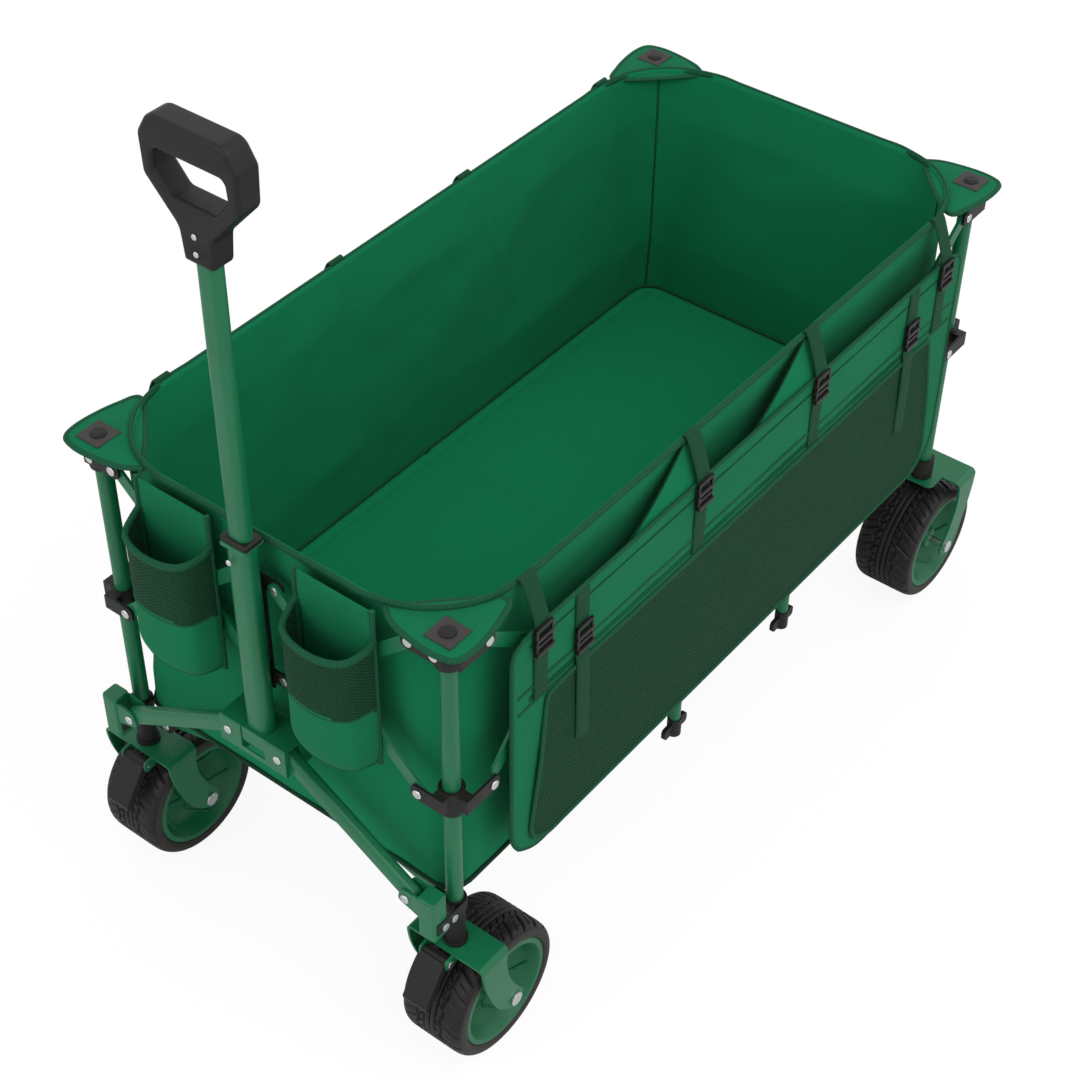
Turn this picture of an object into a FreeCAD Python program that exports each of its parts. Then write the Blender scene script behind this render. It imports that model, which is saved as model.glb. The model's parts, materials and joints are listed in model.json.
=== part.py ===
import FreeCAD, Part
import os
from math import cos, sin

# Collapsible four-wheel utility wagon with a fabric tub and an upright telescopic pull handle.
# Millimetres. +X is forward, towards the handle, +Y is the wagon's left, +Z is up. z = 0 is the
# ground, and x = y = 0 lies midway between the four corner posts. Left and right pieces mirror
# each other in the plane y = 0.

V = FreeCAD.Vector

# ---------------------------------------------------------------- driving dimensions
POST_SPAN_X = 1137.0        # corner post to corner post, lengthwise
POST_SPAN_Y = 540.0         # corner post to corner post, across
POST_R = 11.0
TUBE_WALL = 1.5
CAP_TOP = 745.0             # top of the corner caps
RIM_Z = 752.0               # top edge of the fabric tub
FLOOR_Z = 341.0             # top of the tub's floor
HEM_Z = 290.0               # lower edge of the tub's walls
FABRIC = 4.0                # padded wall thickness
FLOOR_T = 8.0
MAT_T = 6.5

WHEEL_R = 98.0
WHEEL_W = 98.0
RIM_R = 79.0                # radius of the rim's tyre seat
AXLE_R = 6.0
TRAIL = 41.5                # swivel axis to axle, lengthwise
RUN = 0.05                  # radial running clearance
SOFT = 0.3                  # clearance between pieces that pass or rest on each other

FORK_T = 4.0
FORK_HALF = 62.0            # half the fork's outer width
PLATE_TOP = 215.0
PLATE_HALF_X = 26.0

BAR_W = 18.0                # brace bars
BAR_T = 4.5
PIN_R = 4.0
BRACKET_T = 4.0

MID_POST_X = 132.0          # middle posts, lengthwise
MID_POST_Y = 292.0
MID_POST_R = 8.0
MID_POST_FOOT = 235.0
HUB_REACH = 25.0            # middle post axis to a bar's pin
HUB_TOP_Z = 650.0
HUB_LOW_Z = 417.0

HANDLE_X = 605.0            # handle tube and pivot
ARM_X = 608.0               # middle of the pull arms' thickness
PIVOT_Z = 432.0
BLOCK_LOW, BLOCK_HIGH = 409.0, 454.0
BLOCK_BACK, BLOCK_FRONT = 578.0, 624.0
BLOCK_HALF_Y = 54.5
LOWER_W, LOWER_D = 38.0, 26.0
UPPER_W, UPPER_D = 31.0, 20.0
COLLAR_Z = 755.0
GRIP_LOW, GRIP_HIGH = 1137.0, 1294.0
GRIP_W, GRIP_D = 136.0, 34.0
GRIP_SOCKET = 45.0          # depth of the tube in the grip
STROKE = 220.0              # how far the upper tube slides down

PANEL_Y = 302.4             # inner face of the hanging side panels
PANEL_T = 3.0
PANEL_HALF_X = 500.0
PANEL_LOW, PANEL_HIGH = 312.0, 690.0
STRAP_W, STRAP_T = 25.0, 1.6
RIM_STRAPS = (450.0, MID_POST_X, -MID_POST_X, -450.0)
POCKET_STRAPS = (372.0, -372.0)

# ---------------------------------------------------------------- places worked out from them
PX, PY = POST_SPAN_X / 2, POST_SPAN_Y / 2
WHEEL_Z = WHEEL_R
FRONT_AXLE_X = PX - TRAIL
REAR_AXLE_X = -PX
FRONT_PLATE_X = PX - 4.0
REAR_PLATE_X = REAR_AXLE_X - (FRONT_PLATE_X - FRONT_AXLE_X)
FORK_INNER = FORK_HALF - FORK_T
TUB_TOP_X, TUB_TOP_Y = PX + 10.5, PY + 11.0     # half sizes of the rim
TUB_LOW_X, TUB_LOW_Y = PX - 3.5, PY - 3.0       # half sizes at the hem
TUB_TOP_CORNER, TUB_LOW_CORNER = 130.0, 30.0
LAYER_1 = PY + 15.0                              # inner face of the inner side bars
LAYER_2 = LAYER_1 + BAR_T + 1.0                  # inner face of the outer side bars
FACE_1 = TUB_TOP_X + 1.5                         # inner face of the inner end bars
FACE_2 = FACE_1 + BAR_T + 1.0
CAP_PIN_X, CAP_PIN_Z = PX - TRAIL, 719.0         # side pin of a corner cap
MIDB_PIN_X, MIDB_PIN_Z = PX - TRAIL, 486.0       # side pin of a middle bracket
CAP_FACE_Y, CAP_FACE_Z = PY - 40.0, 726.0        # end-face pin of a corner cap
MIDB_FACE_Y, MIDB_FACE_Z = PY - 30.0, 488.0      # end-face pin of a middle bracket
HUB_FACE_Y = 28.0
HUB_FACE_LOW, HUB_FACE_HIGH = 533.0, 683.0
HUB_PIN_X = MID_POST_X + HUB_REACH
INNER_PIN_X = MID_POST_X - HUB_REACH
END_SHORT = 19.0                                 # an open bar end stops this far short of its pin

os.makedirs("parts", exist_ok=True)


# ---------------------------------------------------------------- helpers
def box(x0, x1, y0, y1, z0, z1):
    return Part.makeBox(x1 - x0, y1 - y0, z1 - z0, V(x0, y0, z0))


def cylinder(x, y, z, radius, length, axis=V(0, 0, 1)):
    return Part.makeCylinder(radius, length, V(x, y, z), axis)


def mirror_y(shape):
    return shape.mirror(V(0, 0, 0), V(0, 1, 0))


def mirror_x(shape):
    return shape.mirror(V(0, 0, 0), V(1, 0, 0))


def both_sides(shapes):
    return shapes + [mirror_y(s) for s in shapes]


def fuse(shapes):
    return shapes[0].multiFuse(shapes[1:]).removeSplitter()


def rounded(points, radii):
    """A closed wire through the points, each corner rounded by its own radius."""
    count = len(points)
    edges, ends = [], []
    for i, point in enumerate(points):
        before, after = points[i - 1] - point, points[(i + 1) % count] - point
        before.normalize()
        after.normalize()
        half = before.getAngle(after) / 2
        cut = radii[i] / sin(half) * cos(half)
        middle = (before + after).normalize()
        centre = point + middle * (radii[i] / sin(half))
        start, end = point + before * cut, point + after * cut
        if radii[i]:
            edges.append(Part.Arc(start, centre - middle * radii[i], end).toShape())
        ends.append((start, end))
    for i in range(count):
        start, end = ends[i][1], ends[(i + 1) % count][0]
        if start.distanceToPoint(end) > 1e-6:
            edges.append(Part.makeLine(start, end))
    return Part.Wire(Part.__sortEdges__(edges))


def prism(wire, direction):
    return Part.Face(wire).extrude(direction)


def plate_xz(points, radii, y0, y1):
    wire = rounded([V(x, y0, z) for x, z in points], radii)
    return prism(wire, V(0, y1 - y0, 0))


def plate_yz(points, radii, x0, x1):
    wire = rounded([V(x0, y, z) for y, z in points], radii)
    return prism(wire, V(x1 - x0, 0, 0))


def plate_xy(points, radii, z0, z1):
    wire = rounded([V(x, y, z0) for x, y in points], radii)
    return prism(wire, V(0, 0, z1 - z0))


def bar(start, end, width, thickness, normal, holes=(True, True), short=0.0):
    """A flat bar with round ends between two pin centres. A bar end with no hole stops short."""
    along = (end - start).normalize()
    side = normal.cross(along).normalize() * (width / 2)
    first = start
    last = end - along * short
    edges = [
        Part.makeLine(first + side, last + side),
        Part.Arc(last + side, last + along * (width / 2), last - side).toShape(),
        Part.makeLine(last - side, first - side),
        Part.Arc(first - side, first - along * (width / 2), first + side).toShape(),
    ]
    solid = prism(Part.Wire(edges), normal * thickness)
    for centre, wanted in zip((start, end), holes):
        if wanted:
            hole = Part.makeCylinder(PIN_R + RUN, thickness, centre, normal)
            solid = solid.cut(hole)
    return solid


def pin(centre, direction, length, head_r=6.5, head_t=2.5):
    """A pin that starts at the centre, with its domed head at the far end."""
    shaft = Part.makeCylinder(PIN_R, length, centre, direction)
    head = Part.makeCylinder(head_r, head_t, centre + direction * length, direction)
    rim = [e for e in head.Edges if e.BoundBox.Center.distanceToPoint(
        centre + direction * (length + head_t)) < 0.01]
    return shaft.fuse(head.makeFillet(head_t * 0.6, rim)).removeSplitter()


def flat_oval(width, depth, x, y, z0, z1, wall=0.0):
    """An upright tube of flat-oval section, wide along Y."""
    def ring(w, d):
        straight = (w - d) / 2
        edges = [
            Part.makeLine(V(x - d / 2, y - straight, z0), V(x - d / 2, y + straight, z0)),
            Part.Arc(V(x - d / 2, y + straight, z0), V(x, y + w / 2, z0),
                     V(x + d / 2, y + straight, z0)).toShape(),
            Part.makeLine(V(x + d / 2, y + straight, z0), V(x + d / 2, y - straight, z0)),
            Part.Arc(V(x + d / 2, y - straight, z0), V(x, y - w / 2, z0),
                     V(x - d / 2, y - straight, z0)).toShape(),
        ]
        return prism(Part.Wire(edges), V(0, 0, z1 - z0))
    solid = ring(width, depth)
    if wall:
        solid = solid.cut(ring(width - 2 * wall, depth - 2 * wall))
    return solid


def save(name, shapes):
    solids = [s for shape in shapes for s in shape.Solids]
    for solid in solids:
        if not solid.isValid() or solid.Volume <= 0:
            raise ValueError(f"{name} has a bad solid")
    Part.makeCompound(solids).exportStep(f"parts/{name}.step")
    volume = sum(s.Volume for s in solids) / 1000
    print(f"{name:24s} {len(solids):3d} solids {volume:9.1f} cm3")


# ---------------------------------------------------------------- wheels
def tyre(x, y):
    """A wide tyre: rounded shoulders and three grooves round the tread."""
    half = WHEEL_W / 2
    groove, depth = 3.0, 3.0
    outline = [(-half, RIM_R), (-half, WHEEL_R - 9), (-half + 4, WHEEL_R - 3),
               (-half + 13, WHEEL_R)]
    for centre in (-11.0, 0.0, 11.0):
        outline += [(centre - groove / 2, WHEEL_R), (centre - groove / 2, WHEEL_R - depth),
                    (centre + groove / 2, WHEEL_R - depth), (centre + groove / 2, WHEEL_R)]
    outline += [(half - 13, WHEEL_R), (half - 4, WHEEL_R - 3), (half, WHEEL_R - 9),
                (half, RIM_R)]
    points = [V(x, y + along, WHEEL_Z + r) for along, r in outline]
    face = Part.Face(Part.makePolygon(points + points[:1]))
    return face.revolve(V(x, y, WHEEL_Z), V(0, 1, 0), 360)


def rim(x, y):
    """A deep-dish rim: barrel with lips, middle web, hub, and ribs on both sides of the web."""
    half = WHEEL_W / 2
    wall, lip = 4.0, 3.0
    hub_r, hub_half, web_half = 17.0, half - 3.0, 3.0
    bore = AXLE_R + RUN
    outline = [
        (-hub_half, bore), (-hub_half, hub_r - 3), (-web_half, hub_r),
        (-web_half, RIM_R - wall), (-half + lip, RIM_R - wall - 1),
        (-half - 0.5, RIM_R - wall), (-half - 0.5, RIM_R),
        (half + 0.5, RIM_R), (half + 0.5, RIM_R - wall), (half - lip, RIM_R - wall - 1),
        (web_half, RIM_R - wall), (web_half, hub_r), (hub_half, hub_r - 3), (hub_half, bore),
    ]
    points = [V(x, y + along, WHEEL_Z + r) for along, r in outline]
    face = Part.Face(Part.makePolygon(points + points[:1]))
    solid = face.revolve(V(x, y, WHEEL_Z), V(0, 1, 0), 360)
    ribs = []
    for n in range(6):
        rib = box(x - 2, x + 2, y - half * 0.62, y + half * 0.62,
                  WHEEL_Z + hub_r - 3, WHEEL_Z + RIM_R - wall + 1)
        rib.rotate(V(x, y, WHEEL_Z), V(0, 1, 0), 60 * n)
        ribs.append(rib)
    return fuse([solid] + ribs)


def axle(x, y):
    """A through bolt with a domed head outside each fork arm."""
    half, head_r, head_t = FORK_HALF, 10.0, 4.0
    shaft = cylinder(x, y - half, WHEEL_Z, AXLE_R, 2 * half, V(0, 1, 0))
    heads = [cylinder(x, y + half, WHEEL_Z, head_r, head_t, V(0, 1, 0)),
             cylinder(x, y - half - head_t, WHEEL_Z, head_r, head_t, V(0, 1, 0))]
    return fuse([shaft] + heads)


def fork(plate_x, axle_x, y, facing):
    """A folded steel fork: a plate over the wheel and two crescent arms down to the axle.
    facing is +1 where the plate lies ahead of the axle, -1 where it lies behind."""
    def fx(offset):
        return axle_x + facing * offset
    lead = abs(plate_x - axle_x)
    bend = 9.0
    top, low = PLATE_TOP, WHEEL_Z - 17
    channel = rounded(
        [V(0, y - FORK_HALF, low), V(0, y - FORK_HALF, top), V(0, y + FORK_HALF, top),
         V(0, y + FORK_HALF, low), V(0, y + FORK_INNER, low), V(0, y + FORK_INNER, top - FORK_T),
         V(0, y - FORK_INNER, top - FORK_T), V(0, y - FORK_INNER, low)],
        [0, bend, bend, 0, 0, bend - FORK_T, bend - FORK_T, 0])
    reach = lead + PLATE_HALF_X + 60
    sheet = prism(channel, V(2 * reach, 0, 0))
    sheet.translate(V(axle_x - reach, 0, 0))
    front, back = lead + PLATE_HALF_X, lead - PLATE_HALF_X
    eye = 17.0
    ahead = [V(fx(front), 0, top), V(fx(front - 3), 0, 186), V(fx(front - 14), 0, 146),
             V(fx(31), 0, 107), V(fx(0), 0, WHEEL_Z - eye)]
    behind = [V(fx(-eye), 0, WHEEL_Z + 2), V(fx(-4), 0, 121), V(fx(back - 2), 0, 150),
              V(fx(back), 0, top)]
    edge_a, edge_b = Part.BSplineCurve(), Part.BSplineCurve()
    edge_a.interpolate(ahead)
    edge_b.interpolate(behind)
    low_arc = Part.Arc(ahead[-1], V(fx(-eye * 0.72), 0, WHEEL_Z - eye * 0.7), behind[0])
    side = Part.Wire([edge_a.toShape(), low_arc.toShape(), edge_b.toShape(),
                      Part.makeLine(behind[-1], ahead[0])])
    outline = prism(side, V(0, 2 * FORK_HALF + 2, 0))
    outline.translate(V(0, y - FORK_HALF - 1, 0))
    solid = sheet.common(outline)
    hole = cylinder(axle_x, y - FORK_HALF, WHEEL_Z, AXLE_R, 2 * FORK_HALF, V(0, 1, 0))
    return solid.cut(hole)


save("tyre_front_left", [tyre(FRONT_AXLE_X, PY)])
save("tyre_front_right", [tyre(FRONT_AXLE_X, -PY)])
save("tyre_rear_left", [tyre(REAR_AXLE_X, PY)])
save("tyre_rear_right", [tyre(REAR_AXLE_X, -PY)])
save("rim_front_left", [rim(FRONT_AXLE_X, PY)])
save("rim_front_right", [rim(FRONT_AXLE_X, -PY)])
save("rim_rear_left", [rim(REAR_AXLE_X, PY)])
save("rim_rear_right", [rim(REAR_AXLE_X, -PY)])

# ---------------------------------------------------------------- front casters
KINGPIN_R = 6.0
SLEEVE_R = 13.0
SLEEVE_TOP = 299.0
POST_FOOT = 255.0           # lower end of a front post, inside its sleeve
EAR_T = 3.0
PEDAL_W = 38.0
PEDAL_Y = PY - 7.0
PEDAL_PIVOT_X = FRONT_PLATE_X + PLATE_HALF_X + 7.0
PEDAL_PIVOT_Z = PLATE_TOP - 12.0
PEDAL_PIN_R = 3.0


def caster_fork():
    solid = fork(FRONT_PLATE_X, FRONT_AXLE_X, PY, 1)
    bore = cylinder(PX, PY, PLATE_TOP - FORK_T, KINGPIN_R, FORK_T)
    solid = solid.cut(bore)
    edge = FRONT_PLATE_X + PLATE_HALF_X
    for sign in (1, -1):
        inner = PEDAL_Y + sign * (PEDAL_W / 2 + SOFT)
        y0, y1 = sorted((inner, inner + sign * EAR_T))
        ear = plate_xz([(edge - 6, PLATE_TOP), (PEDAL_PIVOT_X + 8, PLATE_TOP - 2),
                        (PEDAL_PIVOT_X + 8, PEDAL_PIVOT_Z - 9), (edge - 6, PEDAL_PIVOT_Z - 5)],
                       [0, 6, 6, 2], y0, y1)
        hole = cylinder(PEDAL_PIVOT_X, y0, PEDAL_PIVOT_Z, PEDAL_PIN_R, EAR_T, V(0, 1, 0))
        solid = solid.fuse(ear.cut(hole))
    return solid.removeSplitter()


def kingpin():
    """The swivel stud: its flange hangs under the fork plate and its shaft stands in the sleeve."""
    shaft = cylinder(PX, PY, PLATE_TOP - FORK_T, KINGPIN_R, POST_FOOT - 2 - PLATE_TOP + FORK_T)
    flange = cylinder(PX, PY, PLATE_TOP - FORK_T - 3, 11, 3)
    return shaft.fuse(flange).removeSplitter()


def brake_pedal():
    """A foot pedal on the fork's front edge: a barrel, a block under it and a long tongue."""
    y0, y1 = PEDAL_Y - PEDAL_W / 2, PEDAL_Y + PEDAL_W / 2
    barrel = cylinder(PEDAL_PIVOT_X, y0, PEDAL_PIVOT_Z, 7, PEDAL_W, V(0, 1, 0))
    x, z = PEDAL_PIVOT_X, PEDAL_PIVOT_Z
    tongue = plate_xz([(x - 2, z + 6), (x + 9, z + 4), (x + 46, z - 48), (x + 44, z - 58),
                       (x + 36, z - 55), (x + 1, z - 5)], [3, 5, 5, 4, 3, 2], y0, y1)
    solid = barrel.fuse(tongue)
    bore = cylinder(x, y0, z, PEDAL_PIN_R + RUN, PEDAL_W, V(0, 1, 0))
    return solid.cut(bore).removeSplitter()


def pedal_pin():
    length = PEDAL_W + 2 * (SOFT + EAR_T)
    y0 = PEDAL_Y - length / 2
    shaft = cylinder(PEDAL_PIVOT_X, y0, PEDAL_PIVOT_Z, PEDAL_PIN_R, length, V(0, 1, 0))
    head = cylinder(PEDAL_PIVOT_X, y0 + length, PEDAL_PIVOT_Z, 5, 2, V(0, 1, 0))
    return shaft.fuse(head).removeSplitter()


CASTER = {"caster_fork": [caster_fork()], "brake_pedal": [brake_pedal()],
          "caster_hardware": [axle(FRONT_AXLE_X, PY), kingpin(), pedal_pin()]}
for piece, shapes in CASTER.items():
    save(f"{piece}_left", shapes)
    save(f"{piece}_right", [mirror_y(s) for s in shapes])

# ---------------------------------------------------------------- corner posts
POST_TOP = CAP_TOP - 5.0
REAR_POST_FOOT = PLATE_TOP


def post(x, foot):
    outer = cylinder(x, PY, foot, POST_R, POST_TOP - foot)
    return outer.cut(cylinder(x, PY, foot, POST_R - TUBE_WALL, POST_TOP - foot))


save("front_posts", both_sides([post(PX, POST_FOOT)]))
save("rear_posts", both_sides([post(-PX, REAR_POST_FOOT)]))


EAR_HALF = 11.0             # half height of a bracket's ear
BASE_EAR_T = 10.0
BASE_PIN_Y, BASE_PIN_Z = PY - 36.0, 259.0
BASE_BAR_X = PX - 14.0 - SOFT                    # outer face of the bars under the floor
REAR_BASE_R, REAR_BASE_TOP = 16.5, PLATE_TOP + 34.0


def base_ear(pin_z):
    """An ear that reaches inwards from the foot of a front-left post."""
    ear = plate_yz([(PY, pin_z - EAR_HALF), (PY, pin_z + EAR_HALF),
                    (BASE_PIN_Y - EAR_HALF, pin_z + EAR_HALF),
                    (BASE_PIN_Y - EAR_HALF, pin_z - EAR_HALF)],
                   [0, 0, 8, 8], BASE_BAR_X + SOFT, BASE_BAR_X + SOFT + BASE_EAR_T)
    return ear.cut(Part.makeCylinder(PIN_R, BASE_EAR_T,
                                     V(BASE_BAR_X + SOFT, BASE_PIN_Y, pin_z), V(1, 0, 0)))


def sleeve():
    """The swivel sleeve: it holds the post from above and the kingpin from below."""
    low = PLATE_TOP + SOFT
    body = cylinder(PX, PY, low, SLEEVE_R, SLEEVE_TOP - low)
    flange = cylinder(PX, PY, low, SLEEVE_R + 3, 6)
    solid = fuse([body, flange, base_ear(BASE_PIN_Z)])
    solid = solid.cut(cylinder(PX, PY, low, KINGPIN_R + RUN, POST_FOOT - low))
    solid = solid.cut(cylinder(PX, PY, POST_FOOT, POST_R, SLEEVE_TOP - POST_FOOT))
    return solid.removeSplitter()


def rear_base_sleeve():
    """The collar at the foot of a rear post, modelled at the front and mirrored."""
    low = PLATE_TOP
    body = cylinder(PX, PY, low, REAR_BASE_R, REAR_BASE_TOP - low)
    solid = body.fuse(base_ear(REAR_BASE_TOP - EAR_HALF))
    return solid.cut(cylinder(PX, PY, low, POST_R, REAR_BASE_TOP - low)).removeSplitter()


save("swivel_sleeves", both_sides([sleeve()]))
save("rear_base_sleeves", both_sides([mirror_x(rear_base_sleeve())]))


def rear_fork():
    """The rear fork is fixed: a tongue of its plate carries the post ahead of it."""
    solid = fork(REAR_PLATE_X, REAR_AXLE_X, PY, -1)
    tongue = box(REAR_PLATE_X, -PX + 22, PY - 30, PY + 30, PLATE_TOP - FORK_T, PLATE_TOP)
    corners = [e for e in tongue.Edges
               if e.BoundBox.ZLength > 1 and e.BoundBox.Center.x > REAR_PLATE_X + 1]
    return solid.fuse(tongue.makeFillet(12, corners)).removeSplitter()


save("rear_forks", both_sides([rear_fork()]))


# ---------------------------------------------------------------- brackets on the posts
def corner_bracket(low, high, face_pin, side_pin, side_layer, face_plate):
    """A moulded bracket round a front-left post with two ears at right angles. Each pin is
    (across or lengthwise place, height). The ears stand outside the bars that they hold."""
    body = cylinder(PX, PY, low, SLEEVE_R + 3.5, high - low)
    face_y, face_z = face_pin
    x0 = face_plate
    face_ear = plate_yz([(PY + 8, face_z - EAR_HALF), (PY + 8, face_z + EAR_HALF),
                         (face_y - 11, face_z + EAR_HALF), (face_y - 11, face_z - EAR_HALF)],
                        [2, 2, 8, 8], x0, x0 + BRACKET_T)
    face_web = box(PX, x0 + BRACKET_T, PY - 10, PY + 8, face_z - EAR_HALF, face_z + EAR_HALF)
    side_x, side_z = side_pin
    y0 = side_layer + BAR_T + 0.5
    side_ear = plate_xz([(PX + 8, side_z - EAR_HALF), (PX + 8, side_z + EAR_HALF),
                         (side_x - 11, side_z + EAR_HALF), (side_x - 11, side_z - EAR_HALF)],
                        [2, 2, 8, 8], y0, y0 + BRACKET_T)
    side_web = box(PX - 7, PX + 8, PY, y0 + BRACKET_T, side_z - EAR_HALF, side_z + EAR_HALF)
    solid = fuse([body, face_ear, face_web, side_ear, side_web])
    solid = solid.cut(cylinder(PX, PY, low, POST_R, min(high, POST_TOP) - low))
    holes = [
        Part.makeCylinder(PIN_R, BRACKET_T + 1, V(x0 - 0.5, face_y, face_z), V(1, 0, 0)),
        Part.makeCylinder(PIN_R, BRACKET_T + 1, V(side_x, y0 - 0.5, side_z), V(0, 1, 0)),
    ]
    return solid.cut(Part.makeCompound(holes)).removeSplitter()


FACE_PLATE_1 = FACE_1 + BAR_T + 0.5
FACE_PLATE_2 = FACE_2 + BAR_T + 0.5
CAP = corner_bracket(CAP_TOP - 42, CAP_TOP, (CAP_FACE_Y, CAP_FACE_Z),
                     (CAP_PIN_X, CAP_PIN_Z), LAYER_1, FACE_PLATE_1)
MIDDLE = corner_bracket(MIDB_PIN_Z - 24, MIDB_PIN_Z + 14, (MIDB_FACE_Y, MIDB_FACE_Z),
                        (MIDB_PIN_X, MIDB_PIN_Z), LAYER_2, FACE_PLATE_2)
save("front_caps", both_sides([CAP]))
save("rear_caps", both_sides([mirror_x(CAP)]))
save("front_middle_brackets", both_sides([MIDDLE]))
save("rear_middle_brackets", both_sides([mirror_x(MIDDLE)]))


# ---------------------------------------------------------------- brace bars on the two ends
AHEAD, LEFT = V(1, 0, 0), V(0, 1, 0)
BASE_HUB_Y, BASE_HUB_Z = 24.0, 316.0
HUB_T = 4.0
RAIL_HALF = 7.0


def end_bars(base_z):
    """The left bars of one end: a crossing pair, and one under the floor."""
    falling = bar(V(FACE_1, CAP_FACE_Y, CAP_FACE_Z), V(FACE_1, HUB_FACE_Y, HUB_FACE_LOW),
                  BAR_W, BAR_T, AHEAD)
    rising = bar(V(FACE_2, MIDB_FACE_Y, MIDB_FACE_Z), V(FACE_2, HUB_FACE_Y, HUB_FACE_HIGH),
                 BAR_W, BAR_T, AHEAD)
    under = bar(V(BASE_BAR_X - BAR_T, BASE_PIN_Y, base_z),
                V(BASE_BAR_X - BAR_T, BASE_HUB_Y, BASE_HUB_Z), BAR_W, BAR_T, AHEAD)
    return both_sides([falling, rising, under])


def cross_plate(height, reach, x0):
    """A short plate across the middle of an end, with a pin hole near each tip."""
    tip = reach + 9
    plate = plate_yz([(-tip, height - 10), (-tip, height + 10), (tip, height + 10),
                      (tip, height - 10)], [8, 8, 8, 8], x0, x0 + HUB_T)
    for sign in (1, -1):
        plate = plate.cut(Part.makeCylinder(PIN_R, HUB_T, V(x0, sign * reach, height), AHEAD))
    return plate


def end_hub():
    """Lower plate ahead of the bars, upper plate behind them, and the rail that joins the two."""
    low = cross_plate(HUB_FACE_LOW, HUB_FACE_Y, FACE_1 + BAR_T)
    high = cross_plate(HUB_FACE_HIGH, HUB_FACE_Y, FACE_2 - HUB_T)
    rail = box(FACE_1 + 0.5, FACE_1 + BAR_T, -RAIL_HALF, RAIL_HALF,
               HUB_FACE_LOW - 28, HUB_FACE_HIGH - 9)
    under = cross_plate(BASE_HUB_Z, BASE_HUB_Y, BASE_BAR_X - BAR_T - HUB_T)
    return [fuse([low, high, rail]), under]


def end_pins(base_z):
    """Pins of one end: at the caps, brackets, hubs and foot ears, and a screw on each cap."""
    under = BASE_BAR_X - BAR_T
    pins = [
        pin(V(FACE_1, CAP_FACE_Y, CAP_FACE_Z), AHEAD, FACE_PLATE_1 + BRACKET_T - FACE_1),
        pin(V(FACE_2, MIDB_FACE_Y, MIDB_FACE_Z), AHEAD, FACE_PLATE_2 + BRACKET_T - FACE_2),
        pin(V(FACE_1, HUB_FACE_Y, HUB_FACE_LOW), AHEAD, BAR_T + HUB_T, 6, 1.2),
        pin(V(FACE_2 - HUB_T, HUB_FACE_Y, HUB_FACE_HIGH), AHEAD, HUB_T + BAR_T, 6, 1.2),
        pin(V(under, BASE_PIN_Y, base_z), AHEAD, BAR_T + SOFT + BASE_EAR_T),
        pin(V(under - HUB_T, BASE_HUB_Y, BASE_HUB_Z), AHEAD, HUB_T + BAR_T, 6, 1.2),
    ]
    screw = Part.makeCylinder(6.0, 2.0, V(FACE_PLATE_1 + BRACKET_T, PY - 3, CAP_FACE_Z), AHEAD)
    return both_sides(pins + [screw])


REAR_BASE_PIN_Z = REAR_BASE_TOP - EAR_HALF
save("front_end_bars", end_bars(BASE_PIN_Z))
save("rear_end_bars", [mirror_x(s) for s in end_bars(REAR_BASE_PIN_Z)])
save("front_end_hubs", end_hub())
save("rear_end_hubs", [mirror_x(s) for s in end_hub()])

# ---------------------------------------------------------------- brace bars along the sides
STRUT_RISE, DIAGONAL_DROP = 1.1, (CAP_PIN_Z - HUB_LOW_Z) / (CAP_PIN_X - HUB_PIN_X)
STRUT_RUN = (CAP_PIN_Z - MIDB_PIN_Z) / (STRUT_RISE + DIAGONAL_DROP)
STRUT_TOP = (CAP_PIN_X - STRUT_RUN, MIDB_PIN_Z + STRUT_RISE * STRUT_RUN)
STRUT_BORE_R = PIN_R + 4 * RUN                    # loose, since this pivot turns the furthest
DIAGONAL = bar(V(CAP_PIN_X, LAYER_1, CAP_PIN_Z), V(HUB_PIN_X, LAYER_1, HUB_LOW_Z),
               BAR_W, BAR_T, LEFT, (True, False), END_SHORT)
DIAGONAL = DIAGONAL.cut(Part.makeCylinder(STRUT_BORE_R, BAR_T,
                                          V(STRUT_TOP[0], LAYER_1, STRUT_TOP[1]), LEFT))
STRUT_PIN = pin(V(STRUT_TOP[0], LAYER_2 + BAR_T, STRUT_TOP[1]), -LEFT,
                LAYER_2 + BAR_T + SOFT - LAYER_1, 6, 2)
STRUT = bar(V(STRUT_TOP[0], LAYER_2, STRUT_TOP[1]), V(MIDB_PIN_X, LAYER_2, MIDB_PIN_Z),
            BAR_W, BAR_T, LEFT, (False, False), END_SHORT).fuse(STRUT_PIN).removeSplitter()
CENTRE_INNER = bar(V(INNER_PIN_X, LAYER_1, HUB_TOP_Z), V(-INNER_PIN_X, LAYER_1, HUB_LOW_Z),
                   BAR_W, BAR_T, LEFT, (True, False), END_SHORT)
CENTRE_OUTER = bar(V(-INNER_PIN_X, LAYER_2, HUB_TOP_Z), V(INNER_PIN_X, LAYER_2, HUB_LOW_Z),
                   BAR_W, BAR_T, LEFT, (True, False), END_SHORT)
save("diagonals_front", both_sides([DIAGONAL]))
save("diagonals_rear", both_sides([mirror_x(DIAGONAL)]))
save("struts_front", both_sides([STRUT]))
save("struts_rear", both_sides([mirror_x(STRUT)]))
save("centre_bars_inner", both_sides([CENTRE_INNER]))
save("centre_bars_outer", both_sides([CENTRE_OUTER]))

SIDE_CAP_PIN = pin(V(CAP_PIN_X, LAYER_1, CAP_PIN_Z), LEFT, BAR_T + 0.5 + BRACKET_T)
SIDE_OPEN_PIN = pin(V(MIDB_PIN_X, LAYER_2 + BAR_T + 0.5, MIDB_PIN_Z), LEFT, BRACKET_T)

# ---------------------------------------------------------------- middle posts
HUB_EAR_T = 3.0
HUB_WALL = 1.8
EAR_R = 9.0


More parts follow.
